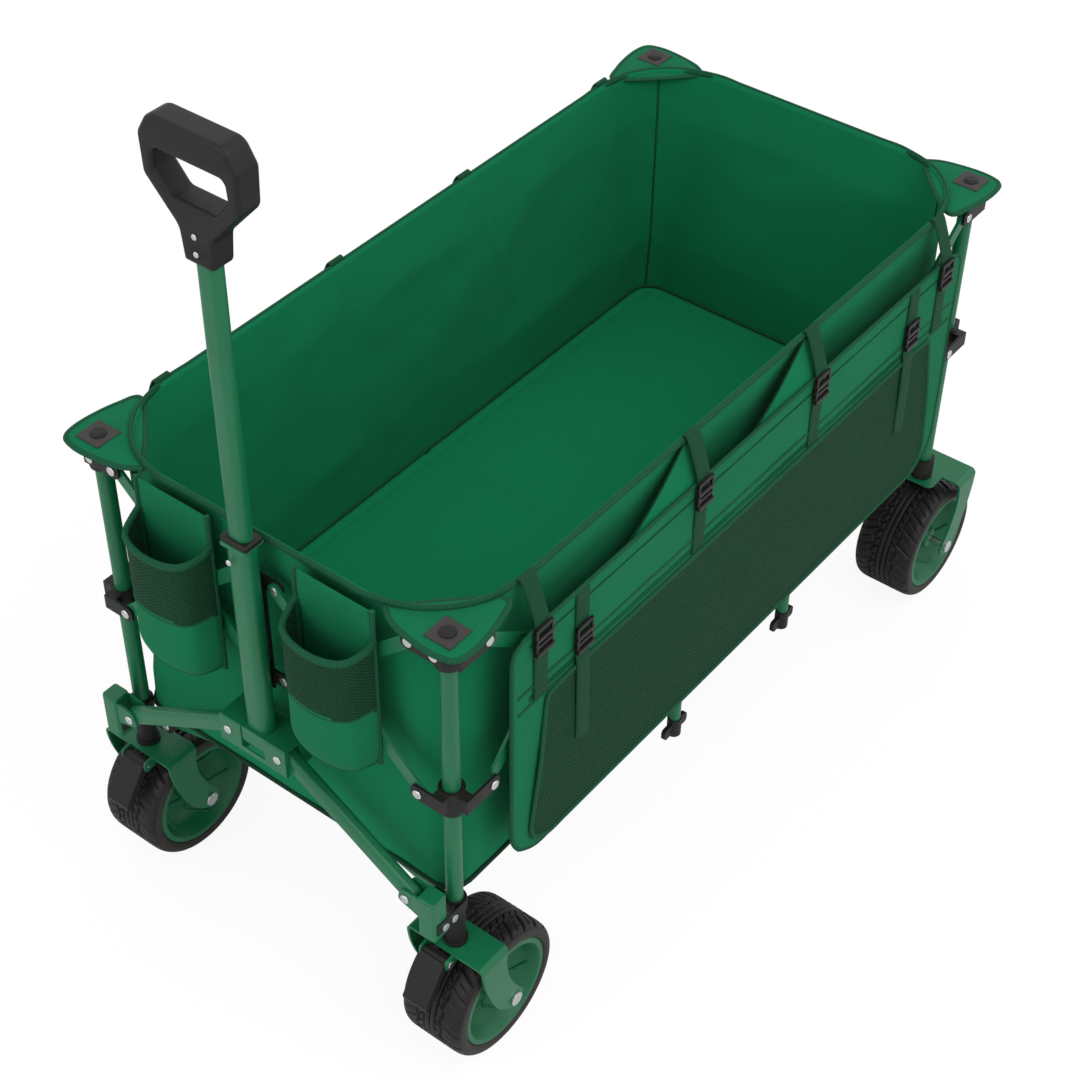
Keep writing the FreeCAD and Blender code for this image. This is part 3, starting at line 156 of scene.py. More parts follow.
# ------------------------------------------------------------------ materials
class Finish:
    """A material under construction, with its Principled shader."""

    def __init__(self, name, colour, roughness, **sockets):
        self.material = bpy.data.materials.new(name)
        self.material.use_nodes = True
        self.tree = self.material.node_tree
        self.shader = self.tree.nodes["Principled BSDF"]
        self.colour = (*colour, 1.0)
        self.set(self.shader, {"Base Color": self.colour, "Roughness": roughness, **sockets})

    def set(self, node, values):
        for socket, value in values.items():
            node.inputs[socket].default_value = value

    def add(self, kind, values=None, **settings):
        node = self.tree.nodes.new(kind)
        for name, value in settings.items():
            setattr(node, name, value)
        self.set(node, values or {})
        return node

    def link(self, source, target):
        self.tree.links.new(source, target)

    def coordinates(self, scale=(1, 1, 1), turn=0.0, uv=False):
        source = self.add("ShaderNodeTexCoord").outputs["UV" if uv else "Object"]
        mapping = self.add("ShaderNodeMapping", {"Scale": scale, "Rotation": (0, 0, turn)})
        self.link(source, mapping.inputs["Vector"])
        return mapping.outputs["Vector"]

    def noise(self, scale, detail=2.0, stretch=(1, 1, 1)):
        node = self.add("ShaderNodeTexNoise", {"Scale": scale, "Detail": detail})
        self.link(self.coordinates(stretch), node.inputs["Vector"])
        return node.outputs["Fac"]

    def threads(self, pitch, turn=0.0, uv=True, direction="X"):
        """Bands one pitch apart, as threads or cords lie."""
        node = self.add("ShaderNodeTexWave", {"Scale": pi / 10 / pitch, "Distortion": 0.0},
                        bands_direction=direction)
        self.link(self.coordinates(turn=turn, uv=uv), node.inputs["Vector"])
        return node.outputs["Fac"]

    def mixed(self, operation, first, second):
        node = self.add("ShaderNodeMath", operation=operation)
        for socket, value in zip(node.inputs, (first, second)):
            if isinstance(value, (int, float)):
                socket.default_value = value
            else:
                self.link(value, socket)
        return node.outputs[0]

    def tint(self, factor, low, high):
        """Scales the colour from low to high as the factor goes from 0 to 1."""
        ramp = self.add("ShaderNodeMix", data_type="RGBA")
        self.link(factor, ramp.inputs["Factor"])
        for socket, share in (("A", low), ("B", high)):
            value = [min(1.0, c * share) for c in self.colour[:3]] + [1.0]
            ramp.inputs[6 if socket == "A" else 7].default_value = value
        self.link(ramp.outputs[2], self.shader.inputs["Base Color"])
        return ramp

    def bump(self, height, strength, distance):
        node = self.add("ShaderNodeBump", {"Strength": strength, "Distance": distance})
        self.link(height, node.inputs["Height"])
        previous = self.shader.inputs["Normal"].links
        if previous:
            self.link(previous[0].from_socket, node.inputs["Normal"])
        self.link(node.outputs["Normal"], self.shader.inputs["Normal"])

    def roughen(self, factor, low, high):
        node = self.add("ShaderNodeMapRange", {"To Min": low, "To Max": high})
        self.link(factor, node.inputs["Value"])
        self.link(node.outputs["Result"], self.shader.inputs["Roughness"])


def sprayed_paint(name, colour, roughness):
    """Powder coat: a faint orange peel, with dust in the broad tone."""
    finish = Finish(name, colour, roughness, **{"Specular IOR Level": 0.36})
    broad = finish.noise(9.0, 3.0)
    finish.tint(broad, 0.86, 1.16)
    finish.roughen(finish.noise(45.0, 4.0), roughness - 0.06, roughness + 0.08)
    finish.bump(finish.noise(700.0, 2.0), 0.10, 0.0004)
    return finish.material


def moulded_plastic(name, colour, roughness, grain=1400.0):
    finish = Finish(name, colour, roughness, **{"Specular IOR Level": 0.26})
    finish.tint(finish.noise(16.0, 3.0), 0.75, 1.35)
    finish.roughen(finish.noise(60.0, 3.0), roughness - 0.07, roughness + 0.09)
    finish.bump(finish.noise(grain, 2.0), 0.18, 0.0004)
    return finish.material


def turned_steel(name, colour):
    finish = Finish(name, colour, 0.28, Metallic=1.0)
    finish.tint(finish.noise(220.0, 3.0), 0.8, 1.1)
    finish.roughen(finish.noise(600.0, 2.0), 0.20, 0.38)
    return finish.material


def woven_cloth(name, colour, pitch, relief, roughness=0.82, low=0.80, high=1.12):
    """Plain weave: crossed threads on the cloth's own UV map, in metres."""
    finish = Finish(name, colour, roughness, **{"Sheen Weight": 0.02, "Sheen Roughness": 0.5,
                                                "Specular IOR Level": 0.07})
    warp = finish.threads(pitch, direction="X")
    weft = finish.threads(pitch, direction="Y")
    weave = finish.mixed("MULTIPLY", warp, weft)
    cloud = finish.noise(7.0, 4.0)
    slub = finish.noise(90.0, 3.0, (1, 1, 3))
    tone = finish.mixed("ADD", finish.mixed("MULTIPLY", weave, 0.30),
                        finish.mixed("ADD", finish.mixed("MULTIPLY", cloud, 0.50),
                                     finish.mixed("MULTIPLY", slub, 0.20)))
    finish.tint(tone, low, high)
    finish.bump(weave, 0.55, relief)
    finish.bump(slub, 0.10, 0.0008)
    return finish.material


def open_mesh(name, colour, pitch):
    """Mesh netting: holes in staggered diagonal rows with bright strands between them."""
    finish = Finish(name, colour, 0.75, **{"Specular IOR Level": 0.12})
    first = finish.threads(pitch, turn=radians(38))
    second = finish.threads(pitch * 1.6, turn=radians(-52))
    strands = finish.mixed("MAXIMUM", finish.mixed("POWER", first, 1.5),
                           finish.mixed("MULTIPLY", finish.mixed("POWER", second, 3.0), 0.8))
    speckle = finish.noise(260.0, 2.0)
    tone = finish.mixed("MULTIPLY", strands, finish.mixed("ADD", speckle, 0.45))
    finish.tint(tone, 0.22, 1.75)
    finish.bump(strands, 0.8, 0.0012)
    return finish.material


def ribbed_webbing(name, colour, pitch):
    """Webbing: ribs across the strap, and a fine line along each edge."""
    finish = Finish(name, colour, 0.7, **{"Specular IOR Level": 0.12})
    ribs = finish.threads(pitch, direction="X")
    cords = finish.threads(pitch * 1.3, direction="Y")
    both = finish.mixed("MULTIPLY", ribs, finish.mixed("ADD", finish.mixed(
        "MULTIPLY", cords, 0.5), 0.5))
    finish.tint(both, 0.62, 1.35)
    finish.bump(both, 0.7, 0.0007)
    return finish.material


MATERIALS = {}


def build_materials():
    c = colours()
    MATERIALS.update({
        "paint": sprayed_paint("frame_paint", c.paint, 0.34),
        "rim": sprayed_paint("rim_paint", c.rim, 0.40),
        "plastic": moulded_plastic("black_plastic", c.plastic, 0.46),
        "buckle": moulded_plastic("buckle_plastic", c.buckle, 0.38),
        "rubber": moulded_plastic("tread_rubber", c.rubber, 0.44, 900.0),
        "sidewall": moulded_plastic("sidewall_rubber", c.sidewall, 0.55, 1200.0),
        "patch": moulded_plastic("corner_patch", c.patch, 0.62, 1000.0),
        "steel": turned_steel("zinc_steel", c.steel),
        "fabric": woven_cloth("tub_fabric", c.fabric, 0.0016, 0.0004),
        # the floor is the tub's own fabric painted lighter than the walls: a painted highlight for the light the
        # upward floor takes
        "floor": woven_cloth("floor_fabric_painted_light", c.fabric, 0.0014, 0.0003, low=1.00, high=1.25),
        "panel": woven_cloth("panel_fabric", c.panel, 0.0022, 0.0006, low=0.72, high=1.18),
        "mesh": open_mesh("pocket_mesh", c.mesh, 0.0032),
        "cup_mesh": open_mesh("cup_mesh", c.mesh, 0.0026),
        "webbing": ribbed_webbing("strap_webbing", c.webbing, 0.0022),
        "piping": ribbed_webbing("binding_tape", c.piping, 0.0030),
        "seam": ribbed_webbing("seam_tape", [v * 0.45 for v in c.piping], 0.0030),
    })


# ------------------------------------------------------------------ modelling helpers
def unit_grid(columns, rows, place, scale=(1.0, 1.0)):
    """A grid with place(u, v) as the point for each u and v from 0 to 1. UVs are in metres."""
    bm = bmesh.new()
    bm.loops.layers.uv.new("UVMap")
    bmesh.ops.create_grid(bm, x_segments=columns, y_segments=rows, size=0.5, calc_uvs=True)
    uv = bm.loops.layers.uv.active
    for face in bm.faces:
        for loop in face.loops:
            co = loop.vert.co
            loop[uv].uv = ((co.x + 0.5) * scale[0], (co.y + 0.5) * scale[1])
    for vert in bm.verts:
        vert.co = place(vert.co.x + 0.5, vert.co.y + 0.5)
    bmesh.ops.remove_doubles(bm, verts=bm.verts, dist=1e-6)
    return bm


def joined(parts):
    """One bmesh with all the parts in it; the parts are freed."""
    whole = bmesh.new()
    for part in parts:
        mesh = bpy.data.meshes.new("part")
        part.to_mesh(mesh)
        part.free()
        whole.from_mesh(mesh)
        bpy.data.meshes.remove(mesh)
    return whole


def mirrored(bm, sign):
    """The same shape on the wagon's other side where sign is -1."""
    if sign < 0:
        bmesh.ops.scale(bm, vec=(1, -1, 1), verts=bm.verts)
        bmesh.ops.reverse_faces(bm, faces=bm.faces)
    return bm


def turned_about(bm, sign):
    """The same shape at the wagon's other end where sign is -1."""
    if sign < 0:
        bmesh.ops.scale(bm, vec=(-1, 1, 1), verts=bm.verts)
        bmesh.ops.reverse_faces(bm, faces=bm.faces)
    return bm


def piece(bm, name, finishes, body=None, squashed=False, replaces=(), sharp=35.0,
          recalc=True):
    """Makes the bmesh an object in the frame. It rides on the body; a squashed piece gets a mesh of its own."""
    if recalc:
        bmesh.ops.recalc_face_normals(bm, faces=bm.faces)
    mesh = bpy.data.meshes.new(name)
    bm.to_mesh(mesh)
    bm.free()
    mesh.shade_smooth()
    if sharp:
        mesh.set_sharp_from_angle(angle=radians(sharp))
    for finish in finishes:
        mesh.materials.append(MATERIALS[finish])
    made = bpy.data.objects.new(name, mesh)
    bpy.context.scene.collection.objects.link(made)
    if replaces:
        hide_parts(*replaces)
    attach(made, body or "rear_frame")
    if squashed:
        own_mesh(made)
    return made


def thicken(made, thickness, offset=0.0):
    modifier = made.modifiers.new("Wall", "SOLIDIFY")
    modifier.thickness = thickness
    modifier.offset = offset
    return modifier


def soften(made, width, segments=2, angle=32.0):
    modifier = made.modifiers.new("Edges", "BEVEL")
    modifier.width = width
    modifier.segments = segments
    modifier.limit_method = "ANGLE"
    modifier.angle_limit = radians(angle)
    modifier.harden_normals = True
    return modifier


def curve_through(points, count):
    """Evenly spread samples of a smooth curve through the points."""
    points = [Vector(p) for p in points]
    ends = [points[0] * 2 - points[1]] + points + [points[-1] * 2 - points[-2]]
    fine = []
    for i in range(1, len(ends) - 2):
        a, b, c, d = ends[i - 1:i + 3]
        for k in range(16):
            t = k / 16
            fine.append(0.5 * (2 * b + (c - a) * t + (2 * a - 5 * b + 4 * c - d) * t * t
                               + (3 * b - a - 3 * c + d) * t ** 3))
    fine.append(points[-1])
    lengths = [0.0]
    for p, q in zip(fine, fine[1:]):
        lengths.append(lengths[-1] + (q - p).length)
    samples = []
    j = 0
    for k in range(count + 1):
        goal = lengths[-1] * k / count
        while j < len(fine) - 2 and lengths[j + 1] < goal:
            j += 1
        share = (goal - lengths[j]) / max(lengths[j + 1] - lengths[j], 1e-9)
        samples.append(fine[j].lerp(fine[j + 1], share))
    return samples, lengths[-1]


def along(samples, t):
    """The point at share t of a list of even samples."""
    k = min(int(t * (len(samples) - 1)), len(samples) - 2)
    return samples[k].lerp(samples[k + 1], t * (len(samples) - 1) - k)


def cord_along(points, radius, steps=60, closed=False, sides=8, flat=1.0, up=(0, 0, 1)):
    """A tube round a smooth curve, such as piping. flat squeezes it against its up side."""
    if closed:
        samples, length = curve_through(points + points[:1], steps)
    else:
        samples, length = curve_through(points, steps)
    up = Vector(up)

    def place(u, v):
        centre = along(samples, u)
        ahead = along(samples, min(1.0, u + 0.5 / steps)) - along(samples, max(0.0, u - 0.5 / steps))
        if closed and (u < 1e-6 or u > 1 - 1e-6):
            ahead = along(samples, 0.5 / steps) - along(samples, 1 - 0.5 / steps)
        side = ahead.cross(up).normalized()
        over = side.cross(ahead).normalized()
        angle = v * 2 * pi
        return centre + side * cos(angle) * radius + over * sin(angle) * radius * flat

    bm = unit_grid(steps, sides, place, (length, 2 * pi * radius))
    if not closed:
        edges = [e for e in bm.edges if e.is_boundary]
        bmesh.ops.holes_fill(bm, edges=edges, sides=sides)
    return bm


def block(low, high):
    """A box between two corners."""
    bm = bmesh.new()
    bmesh.ops.create_cube(bm, size=1.0)
    low, high = Vector(low), Vector(high)
    size = high - low
    bmesh.ops.scale(bm, vec=size, verts=bm.verts)
    bmesh.ops.translate(bm, vec=(low + high) / 2, verts=bm.verts)
    return bm


def disc(centre, axis, radius, height, sides=24, top=1.0):
    """A short cylinder or cone that stands on its centre point along the axis."""
    bm = bmesh.new()
    bmesh.ops.create_cone(bm, cap_ends=True, segments=sides, radius1=radius,
                          radius2=radius * top, depth=height)
    bmesh.ops.translate(bm, vec=(0, 0, height / 2), verts=bm.verts)
    turn = Vector((0, 0, 1)).rotation_difference(Vector(axis)).to_matrix()
    bmesh.ops.rotate(bm, matrix=turn, verts=bm.verts)
    bmesh.ops.translate(bm, vec=centre, verts=bm.verts)
    return bm


def prism(outline, lift):
    """A flat outline given thickness along the lift vector."""
    bm = bmesh.new()
    verts = [bm.verts.new(p) for p in outline]
    face = bm.faces.new(verts)
    out = bmesh.ops.extrude_face_region(bm, geom=[face])
    moved = [g for g in out["geom"] if isinstance(g, bmesh.types.BMVert)]
    bmesh.ops.translate(bm, vec=lift, verts=moved)
    return bm


def spun(profile, centre, steps=96):
    """A profile of (distance from the axis, place along Y) turned about an axle along Y."""
    bm = bmesh.new()
    centre = Vector(centre)
    verts = [bm.verts.new(centre + Vector((0, y, r))) for r, y in profile]
    edges = [bm.edges.new(pair) for pair in zip(verts, verts[1:] + verts[:1])]
    bmesh.ops.spin(bm, geom=verts + edges, cent=centre, axis=(0, 1, 0), angle=2 * pi,
                   steps=steps, use_merge=True)
    bmesh.ops.remove_doubles(bm, verts=bm.verts, dist=1e-6)
    return bm


# ------------------------------------------------------------------ tub
SPANS = (("long", 0.28), ("corner", 0.05), ("short", 0.12), ("corner", 0.05)) * 2


def outline_point(t, half_x, half_y, radius):
    """A point of a rounded rectangle and its outward direction. t = 0 is where the left
    side starts at its front corner, and t grows towards the rear."""
    t = t % 1.0
    corners = [(-1, 1), (-1, -1), (1, -1), (1, 1)]
    inner_x, inner_y = half_x - radius, half_y - radius
    start = 0.0
    for k, (kind, span) in enumerate(SPANS):
        if t <= start + span or k == len(SPANS) - 1:
            share = min(1.0, (t - start) / span)
            quarter = k // 2
            sx, sy = corners[quarter]
            if kind == "corner":
                angle = pi / 2 * (1 + quarter) + pi / 2 * share
                out = Vector((cos(angle), sin(angle), 0))
                return Vector((sx * inner_x, sy * inner_y, 0)) + out * radius, out
            before = corners[quarter - 1]
            out = Vector((0, sy, 0)) if kind == "long" else Vector((sx, 0, 0))
            first = Vector((before[0] * inner_x, before[1] * inner_y, 0)) + out * radius
            last = Vector((sx * inner_x, sy * inner_y, 0)) + out * radius
            return first.lerp(last, share), out
        start += span


def wall_point(t, z, inset=0.0):
    """A point on the tub's wall at a height, and the outward direction there."""
    s = sizes()
    share = (z - HEM_Z) / (RIM_Z - HEM_Z)
    half_x = TUB_HIGH.x - s.hem_inset_x * (1 - share)
    half_y = TUB_HIGH.y - s.hem_inset_y * (1 - share)
    radius = s.hem_corner + (s.rim_corner - s.hem_corner) * share
    point, out = outline_point(t, half_x, half_y, radius)
    point = point - out * inset
    point.z = z
    return point, out


def bump_of(value, centre, width):
    """1 at the centre, falling smoothly to 0 at a width on either side."""
    share = min(1.0, abs(value - centre) / width)
    return (1 - share * share) ** 2


def wall_relief(point, z):
    """How far the wall sags inwards: broad soft folds that fade out at rim, floor and hem."""
    s = sizes()
    height = (z - MAT_HIGH.z) / (RIM_Z - MAT_HIGH.z)
    if height < 0:
        return 0.0008 + 0.0012 * noise.noise(point * 22)
    fade = min(1.0, height * 4) * min(1.0, (1 - height) * 5)
    broad = 0.5 + 0.5 * noise.noise(Vector((point.x * 3.1, point.y * 3.1, z * 2.4)) + Vector((4, 7, 1)))
    slant = Vector((point.x * 7 + z * 5, point.y * 7 - z * 6, z * 3))
    folds = 0.5 + 0.5 * noise.noise(slant)
    fine = 0.5 + 0.5 * noise.noise(point * 19)
    return fade * s.wrinkle * (0.8 * broad + 0.9 * folds ** 2 + 0.25 * fine)


CREASES = (  # (x and z at the rim, x and z at the floor) of the folding lines in each long wall
    ((0.132, 0.735), (0.285, 0.352)),
    ((-0.132, 0.735), (-0.285, 0.352)),
)


def crease_depth(point, z):
    """Shallow grooves where the long walls fold."""
    depth = 0.0
    for (x0, z0), (x1, z1) in CREASES:
        if z1 <= z <= z0 and abs(point.y) > 0.2:
            x = x0 + (x1 - x0) * (z0 - z) / (z0 - z1)
            depth = max(depth, bump_of(point.x, x, 0.007))
    return depth * 0.0022


def tub_walls():
    s = sizes()
    mid = 0.002

    def place(u, v):
        z = HEM_Z + (RIM_Z - HEM_Z) * v
        point, out = wall_point(u, z)
        inward = mid + wall_relief(point, z) + crease_depth(point, z)
        return point - out * inward

    perimeter = 2 * (TUB_HIGH.x - TUB_LOW.x + TUB_HIGH.y - TUB_LOW.y)
    bm = unit_grid(480, 52, place, (perimeter * 0.95, RIM_Z - HEM_Z))
    made = piece(bm, "tub_walls", ["fabric"], squashed=True, replaces=("tub",))
    thicken(made, s.wall)
    return made


def rounded(u, v, width, height, low, high):
    """A point of a rectangle centred on 0, for u and v from 0 to 1, with its corners rounded.
    low and high are the corner radii at v = 0 and at v = 1."""
    a, b = (u - 0.5) * width, (v - 0.5) * height
    radius = low if v < 0.5 else high
    p = (abs(a) - (width / 2 - radius)) / radius
    q = (abs(b) - (height / 2 - radius)) / radius
    if p > 0 and q > 0:
        a = (width / 2 - radius + radius * p * sqrt(1 - q * q / 2)) * (1 if a > 0 else -1)
        b = (height / 2 - radius + radius * q * sqrt(1 - p * p / 2)) * (1 if b > 0 else -1)
    return a, b


def border(count, width, height, low, high):
    """Points round the edge of the same rounded rectangle."""
    points = []
    for k in range(count):
        t = 4 * k / count
        side, share = int(t), t - int(t)
        u, v = ((share, 0), (1, share), (1 - share, 1), (0, 1 - share))[side]
        points.append(rounded(u, v, width, height, low, high))
    return points


def add_rim_binding():
    s = sizes()
    points = [wall_point(k / 64, RIM_Z - 0.0035)[0] for k in range(64)]
    bm = cord_along(points, 0.0034, 420, closed=True, sides=10, flat=1.75)
    piece(bm, "rim_binding", ["piping"], squashed=True)
    points = [wall_point(k / 64, HEM_Z + 0.003)[0] for k in range(64)]
    bm = cord_along(points, 0.0022, 300, closed=True, sides=8, flat=1.8)
    piece(bm, "hem_binding", ["seam"], squashed=True)


def add_tub_seams():
    inset = 0.0065
    parts = []
    floor = [wall_point(k / 64, MAT_HIGH.z + 0.001, inset)[0] for k in range(64)]
    parts.append(cord_along(floor, 0.0017, 300, closed=True, sides=6))
    for t in (0.305, 0.475, 0.805, 0.975):
        line = []
        for k in range(13):
            z = MAT_HIGH.z + (RIM_Z - 0.006 - MAT_HIGH.z) * k / 12
            point, out = wall_point(t, z)
            line.append(point - out * (0.004 + wall_relief(point, z)))
        parts.append(cord_along(line, 0.0015, 60, sides=6))
    piece(joined(parts), "tub_seams", ["piping"], squashed=True)


def add_floor():
    half_x = MAT_HIGH.x
    half_y = MAT_HIGH.y
    seam = -0.010

    def place(u, v):
        a, b = rounded(u, v, 2 * half_x, 2 * half_y, 0.038, 0.038)
        edge = min(half_x - abs(a), half_y - abs(b))
        puff = 0.0012 * noise.noise(Vector((a * 9, b * 9, 2)))
        groove = 0.0034 * bump_of(a, seam, 0.010) + 0.0016 * bump_of(edge, 0.014, 0.006)
        rise = 0.0010 * bump_of(a, seam, 0.05)
        return Vector((a, b, MAT_HIGH.z - 0.001 + puff * 0.5 - groove + rise))

    bm = unit_grid(240, 120, place, (2 * half_x, 2 * half_y))
    made = piece(bm, "floor_board", ["floor"], squashed=True, replaces=("floor_mat",),
                 recalc=False)
    thicken(made, 0.0050, -1.0)
    deck = unit_grid(60, 30, lambda u, v: Vector((
        *rounded(u, v, 2 * half_x + 0.012, 2 * half_y + 0.012, 0.040, 0.040), 0.3395)),
        (1.13, 0.55))
    under = piece(deck, "tub_floor", ["floor"], squashed=True, recalc=False)
    thicken(under, 0.0022, -1.0)


# ------------------------------------------------------------------ sides
PANEL_Z = (PANEL_LOW_Z, PANEL_HIGH.z)
POCKET_Z = (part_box("mesh_pockets")[0].z, POCKET_HIGH.z)
BAND_Z = (POCKET_HIGH.z + 0.002, POCKET_HIGH.z + 0.030)


def panel_sag(x, z):
    """How far the panel's cloth stands out of its plane."""
    return 0.0012 * noise.noise(Vector((x * 8, z * 10, 3)))


def add_side_panels():
    y0 = PANEL_HIGH.y - 0.0015
    width, height = 2 * PANEL_HIGH.x, PANEL_Z[1] - PANEL_Z[0]
    middle = (PANEL_Z[0] + PANEL_Z[1]) / 2
    for side, sign in SIDES:
        def place(u, v):
            a, b = rounded(u, v, width, height, 0.060, 0.030)
            return Vector((a, y0 + panel_sag(a, b), middle + b))

        bm = mirrored(unit_grid(200, 70, place, (width, height)), sign)
        made = piece(bm, "side_panel_" + side, ["panel"], squashed=True,
                     replaces=("side_panels",))
        thicken(made, 0.0024)
        edge = [Vector((a, y0, middle + b)) for a, b in border(96, width, height, 0.060, 0.030)]
        parts = [cord_along(edge, 0.0030, 260, closed=True, up=(0, 1, 0), flat=0.9)]
        for z in BAND_Z:
            line = [Vector((x / 100, y0 + 0.0013, z)) for x in range(-49, 50, 14)]
            parts.append(cord_along(line, 0.0024, 80, up=(0, 1, 0), flat=0.6))
        piece(mirrored(joined(parts), sign), "panel_binding_" + side, ["piping"],
              squashed=True)


def add_stitching():
    """Rows of stitches on the panels, near the top hem and above the pockets."""
    y0 = PANEL_HIGH.y + 0.0004
    parts = []
    for sign in (1, -1):
        for z in (PANEL_Z[1] - 0.020, BAND_Z[0] + 0.009, BAND_Z[0] + 0.014):
            line = [Vector((x / 100, y0, z)) for x in range(-47, 48, 47)]
            parts.append(mirrored(cord_along(line, 0.0006, 60, up=(0, 1, 0), sides=5), sign))
    piece(joined(parts), "panel_stitches", ["seam"], squashed=True)


def add_mesh_pockets():
    y0 = POCKET_HIGH.y - 0.0010
    height = POCKET_Z[1] - POCKET_Z[0]
    middle = (POCKET_Z[0] + POCKET_Z[1]) / 2
    low_x, high_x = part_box("mesh_pockets")[1].x, 0.436

    def spot(a, b):
        share = b / height + 0.5
        x = a * (1 - (1 - high_x / low_x) * share)
        bulge = 0.0022 * bump_of(share, 0.45, 0.5) * (1 + noise.noise(Vector((x * 5, b * 8, 6))))
        return Vector((x, y0 + bulge, middle + b))

    for side, sign in SIDES:
        bm = unit_grid(180, 50, lambda u, v: spot(*rounded(u, v, 2 * low_x, height, 0.050, 0.014)),
                       (2 * low_x, height))
        made = piece(mirrored(bm, sign), "mesh_pocket_" + side, ["mesh"], squashed=True,
                     replaces=("mesh_pockets",))
        thicken(made, 0.0012)
        edge = [spot(a, b) for a, b in border(96, 2 * low_x, height, 0.050, 0.014)]
        bm = cord_along(edge, 0.0036, 260, closed=True, up=(0, 1, 0), flat=0.7)
        piece(mirrored(bm, sign), "pocket_binding_" + side, ["piping"], squashed=True)


COVER_X = (0.132, -0.132)
COVER_RUN = 0.150


def add_middle_covers():
    """Cloth over each middle post, from the rim down into the gap behind the side panel."""
    y_in, y_out = 0.2825, PANEL_HIGH.y - 0.004
    top, hem = RIM_Z - 0.010, PANEL_HIGH.z - 0.002
    for side, sign in SIDES:
        for end, x0 in zip(("front", "rear"), COVER_X):
            def place(u, v):
                # v runs outwards from tub to panel; u runs forwards
                x = x0 - 0.013 + u * (0.026 + COVER_RUN * v)
                y = y_in + (y_out - y_in) * v
                sag = 0.012 * sin(pi * v) * u + 0.006 * u * v
                return Vector((x, y, top + (hem - top) * v - sag))

            bm = mirrored(unit_grid(40, 16, place, (0.16, 0.03)), sign)
            made = piece(bm, f"middle_cover_{end}_{side}", ["fabric"], squashed=True)
            thicken(made, 0.0016)
            edge = [place(1, k / 6) for k in range(7)]
            bm = mirrored(cord_along(edge, 0.0016, 20, sides=6), sign)
            piece(bm, f"middle_cover_seam_{end}_{side}", ["seam"], squashed=True)


RIM_STRAPS = (0.450, 0.132, -0.132, -0.450)
POCKET_STRAPS = (0.372, -0.372)
RIM_PATH = ((0.2795, 0.7535), (0.2860, 0.7560), (0.2960, 0.7330), (0.3060, 0.7030),
            (0.3064, 0.6900), (0.3064, 0.6400), (0.3064, 0.5780))
POCKET_PATH = ((0.3040, 0.6895), (0.3060, 0.6860), (0.3066, 0.6700), (0.3066, 0.6000),
               (0.3096, 0.5750), (0.3104, 0.5200), (0.3110, 0.4450))


def add_straps():
    s = sizes()
    parts = []
    lengths = []
    for sign in (1, -1):
        for path, places, slant in ((RIM_PATH, RIM_STRAPS, 0.0), (POCKET_PATH, POCKET_STRAPS, 0.010)):
            for x in places:
                samples, length = curve_through([Vector((x, y, z)) for y, z in path], 48)
                lengths.append(length)

                def place(u, v):
                    point = along(samples, u)
                    wave = 0.0012 * noise.noise(Vector((x * 9, point.z * 14, sign)))
                    return point + Vector(((v - 0.5) * s.strap_width, wave * u,
                                           slant * (v - 0.5) * u ** 6))

                parts.append(mirrored(unit_grid(48, 4, place, (length, s.strap_width)), sign))
    made = piece(joined(parts), "side_straps", ["webbing"], squashed=True,
                 replaces=("straps",), sharp=60)
    thicken(made, s.strap_thickness)


def buckle(x, z):
    """A ladder-lock buckle: two side rails, three bars, and a lip at the bottom."""
    y = PANEL_HIGH.y + 0.0030
    half, tall, rail = 0.016, 0.020, 0.0042
    parts = []
    for sign in (1, -1):
        parts.append(block((x + sign * (half - rail / 2) - rail / 2, y, z - tall),
                           (x + sign * (half - rail / 2) + rail / 2, y + 0.0048, z + tall)))
    for low, high, near, far in ((tall - 0.0050, tall, 0.0, 0.0044),
                                 (0.0005, 0.0062, 0.0010, 0.0056),
                                 (-0.0105, -0.0055, 0.0, 0.0044),
                                 (-tall - 0.0005, -tall + 0.0055, 0.0006, 0.0068)):
        parts.append(block((x - half, y + near, z + low), (x + half, y + far, z + high)))
    return parts


def add_buckles():
    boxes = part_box("buckles")
    rim_z, pocket_z = boxes[1].z - 0.020, boxes[0].z + 0.020
    parts = []
    for sign in (1, -1):
        for x in RIM_STRAPS:
            parts += [mirrored(part, sign) for part in buckle(x, rim_z)]
        for x in POCKET_STRAPS:
            parts += [mirrored(part, sign) for part in buckle(x, pocket_z)]
    made = piece(joined(parts), "side_buckles", ["buckle"], squashed=True,
                 replaces=("buckles",), sharp=40)
    soften(made, 0.0011, 2)


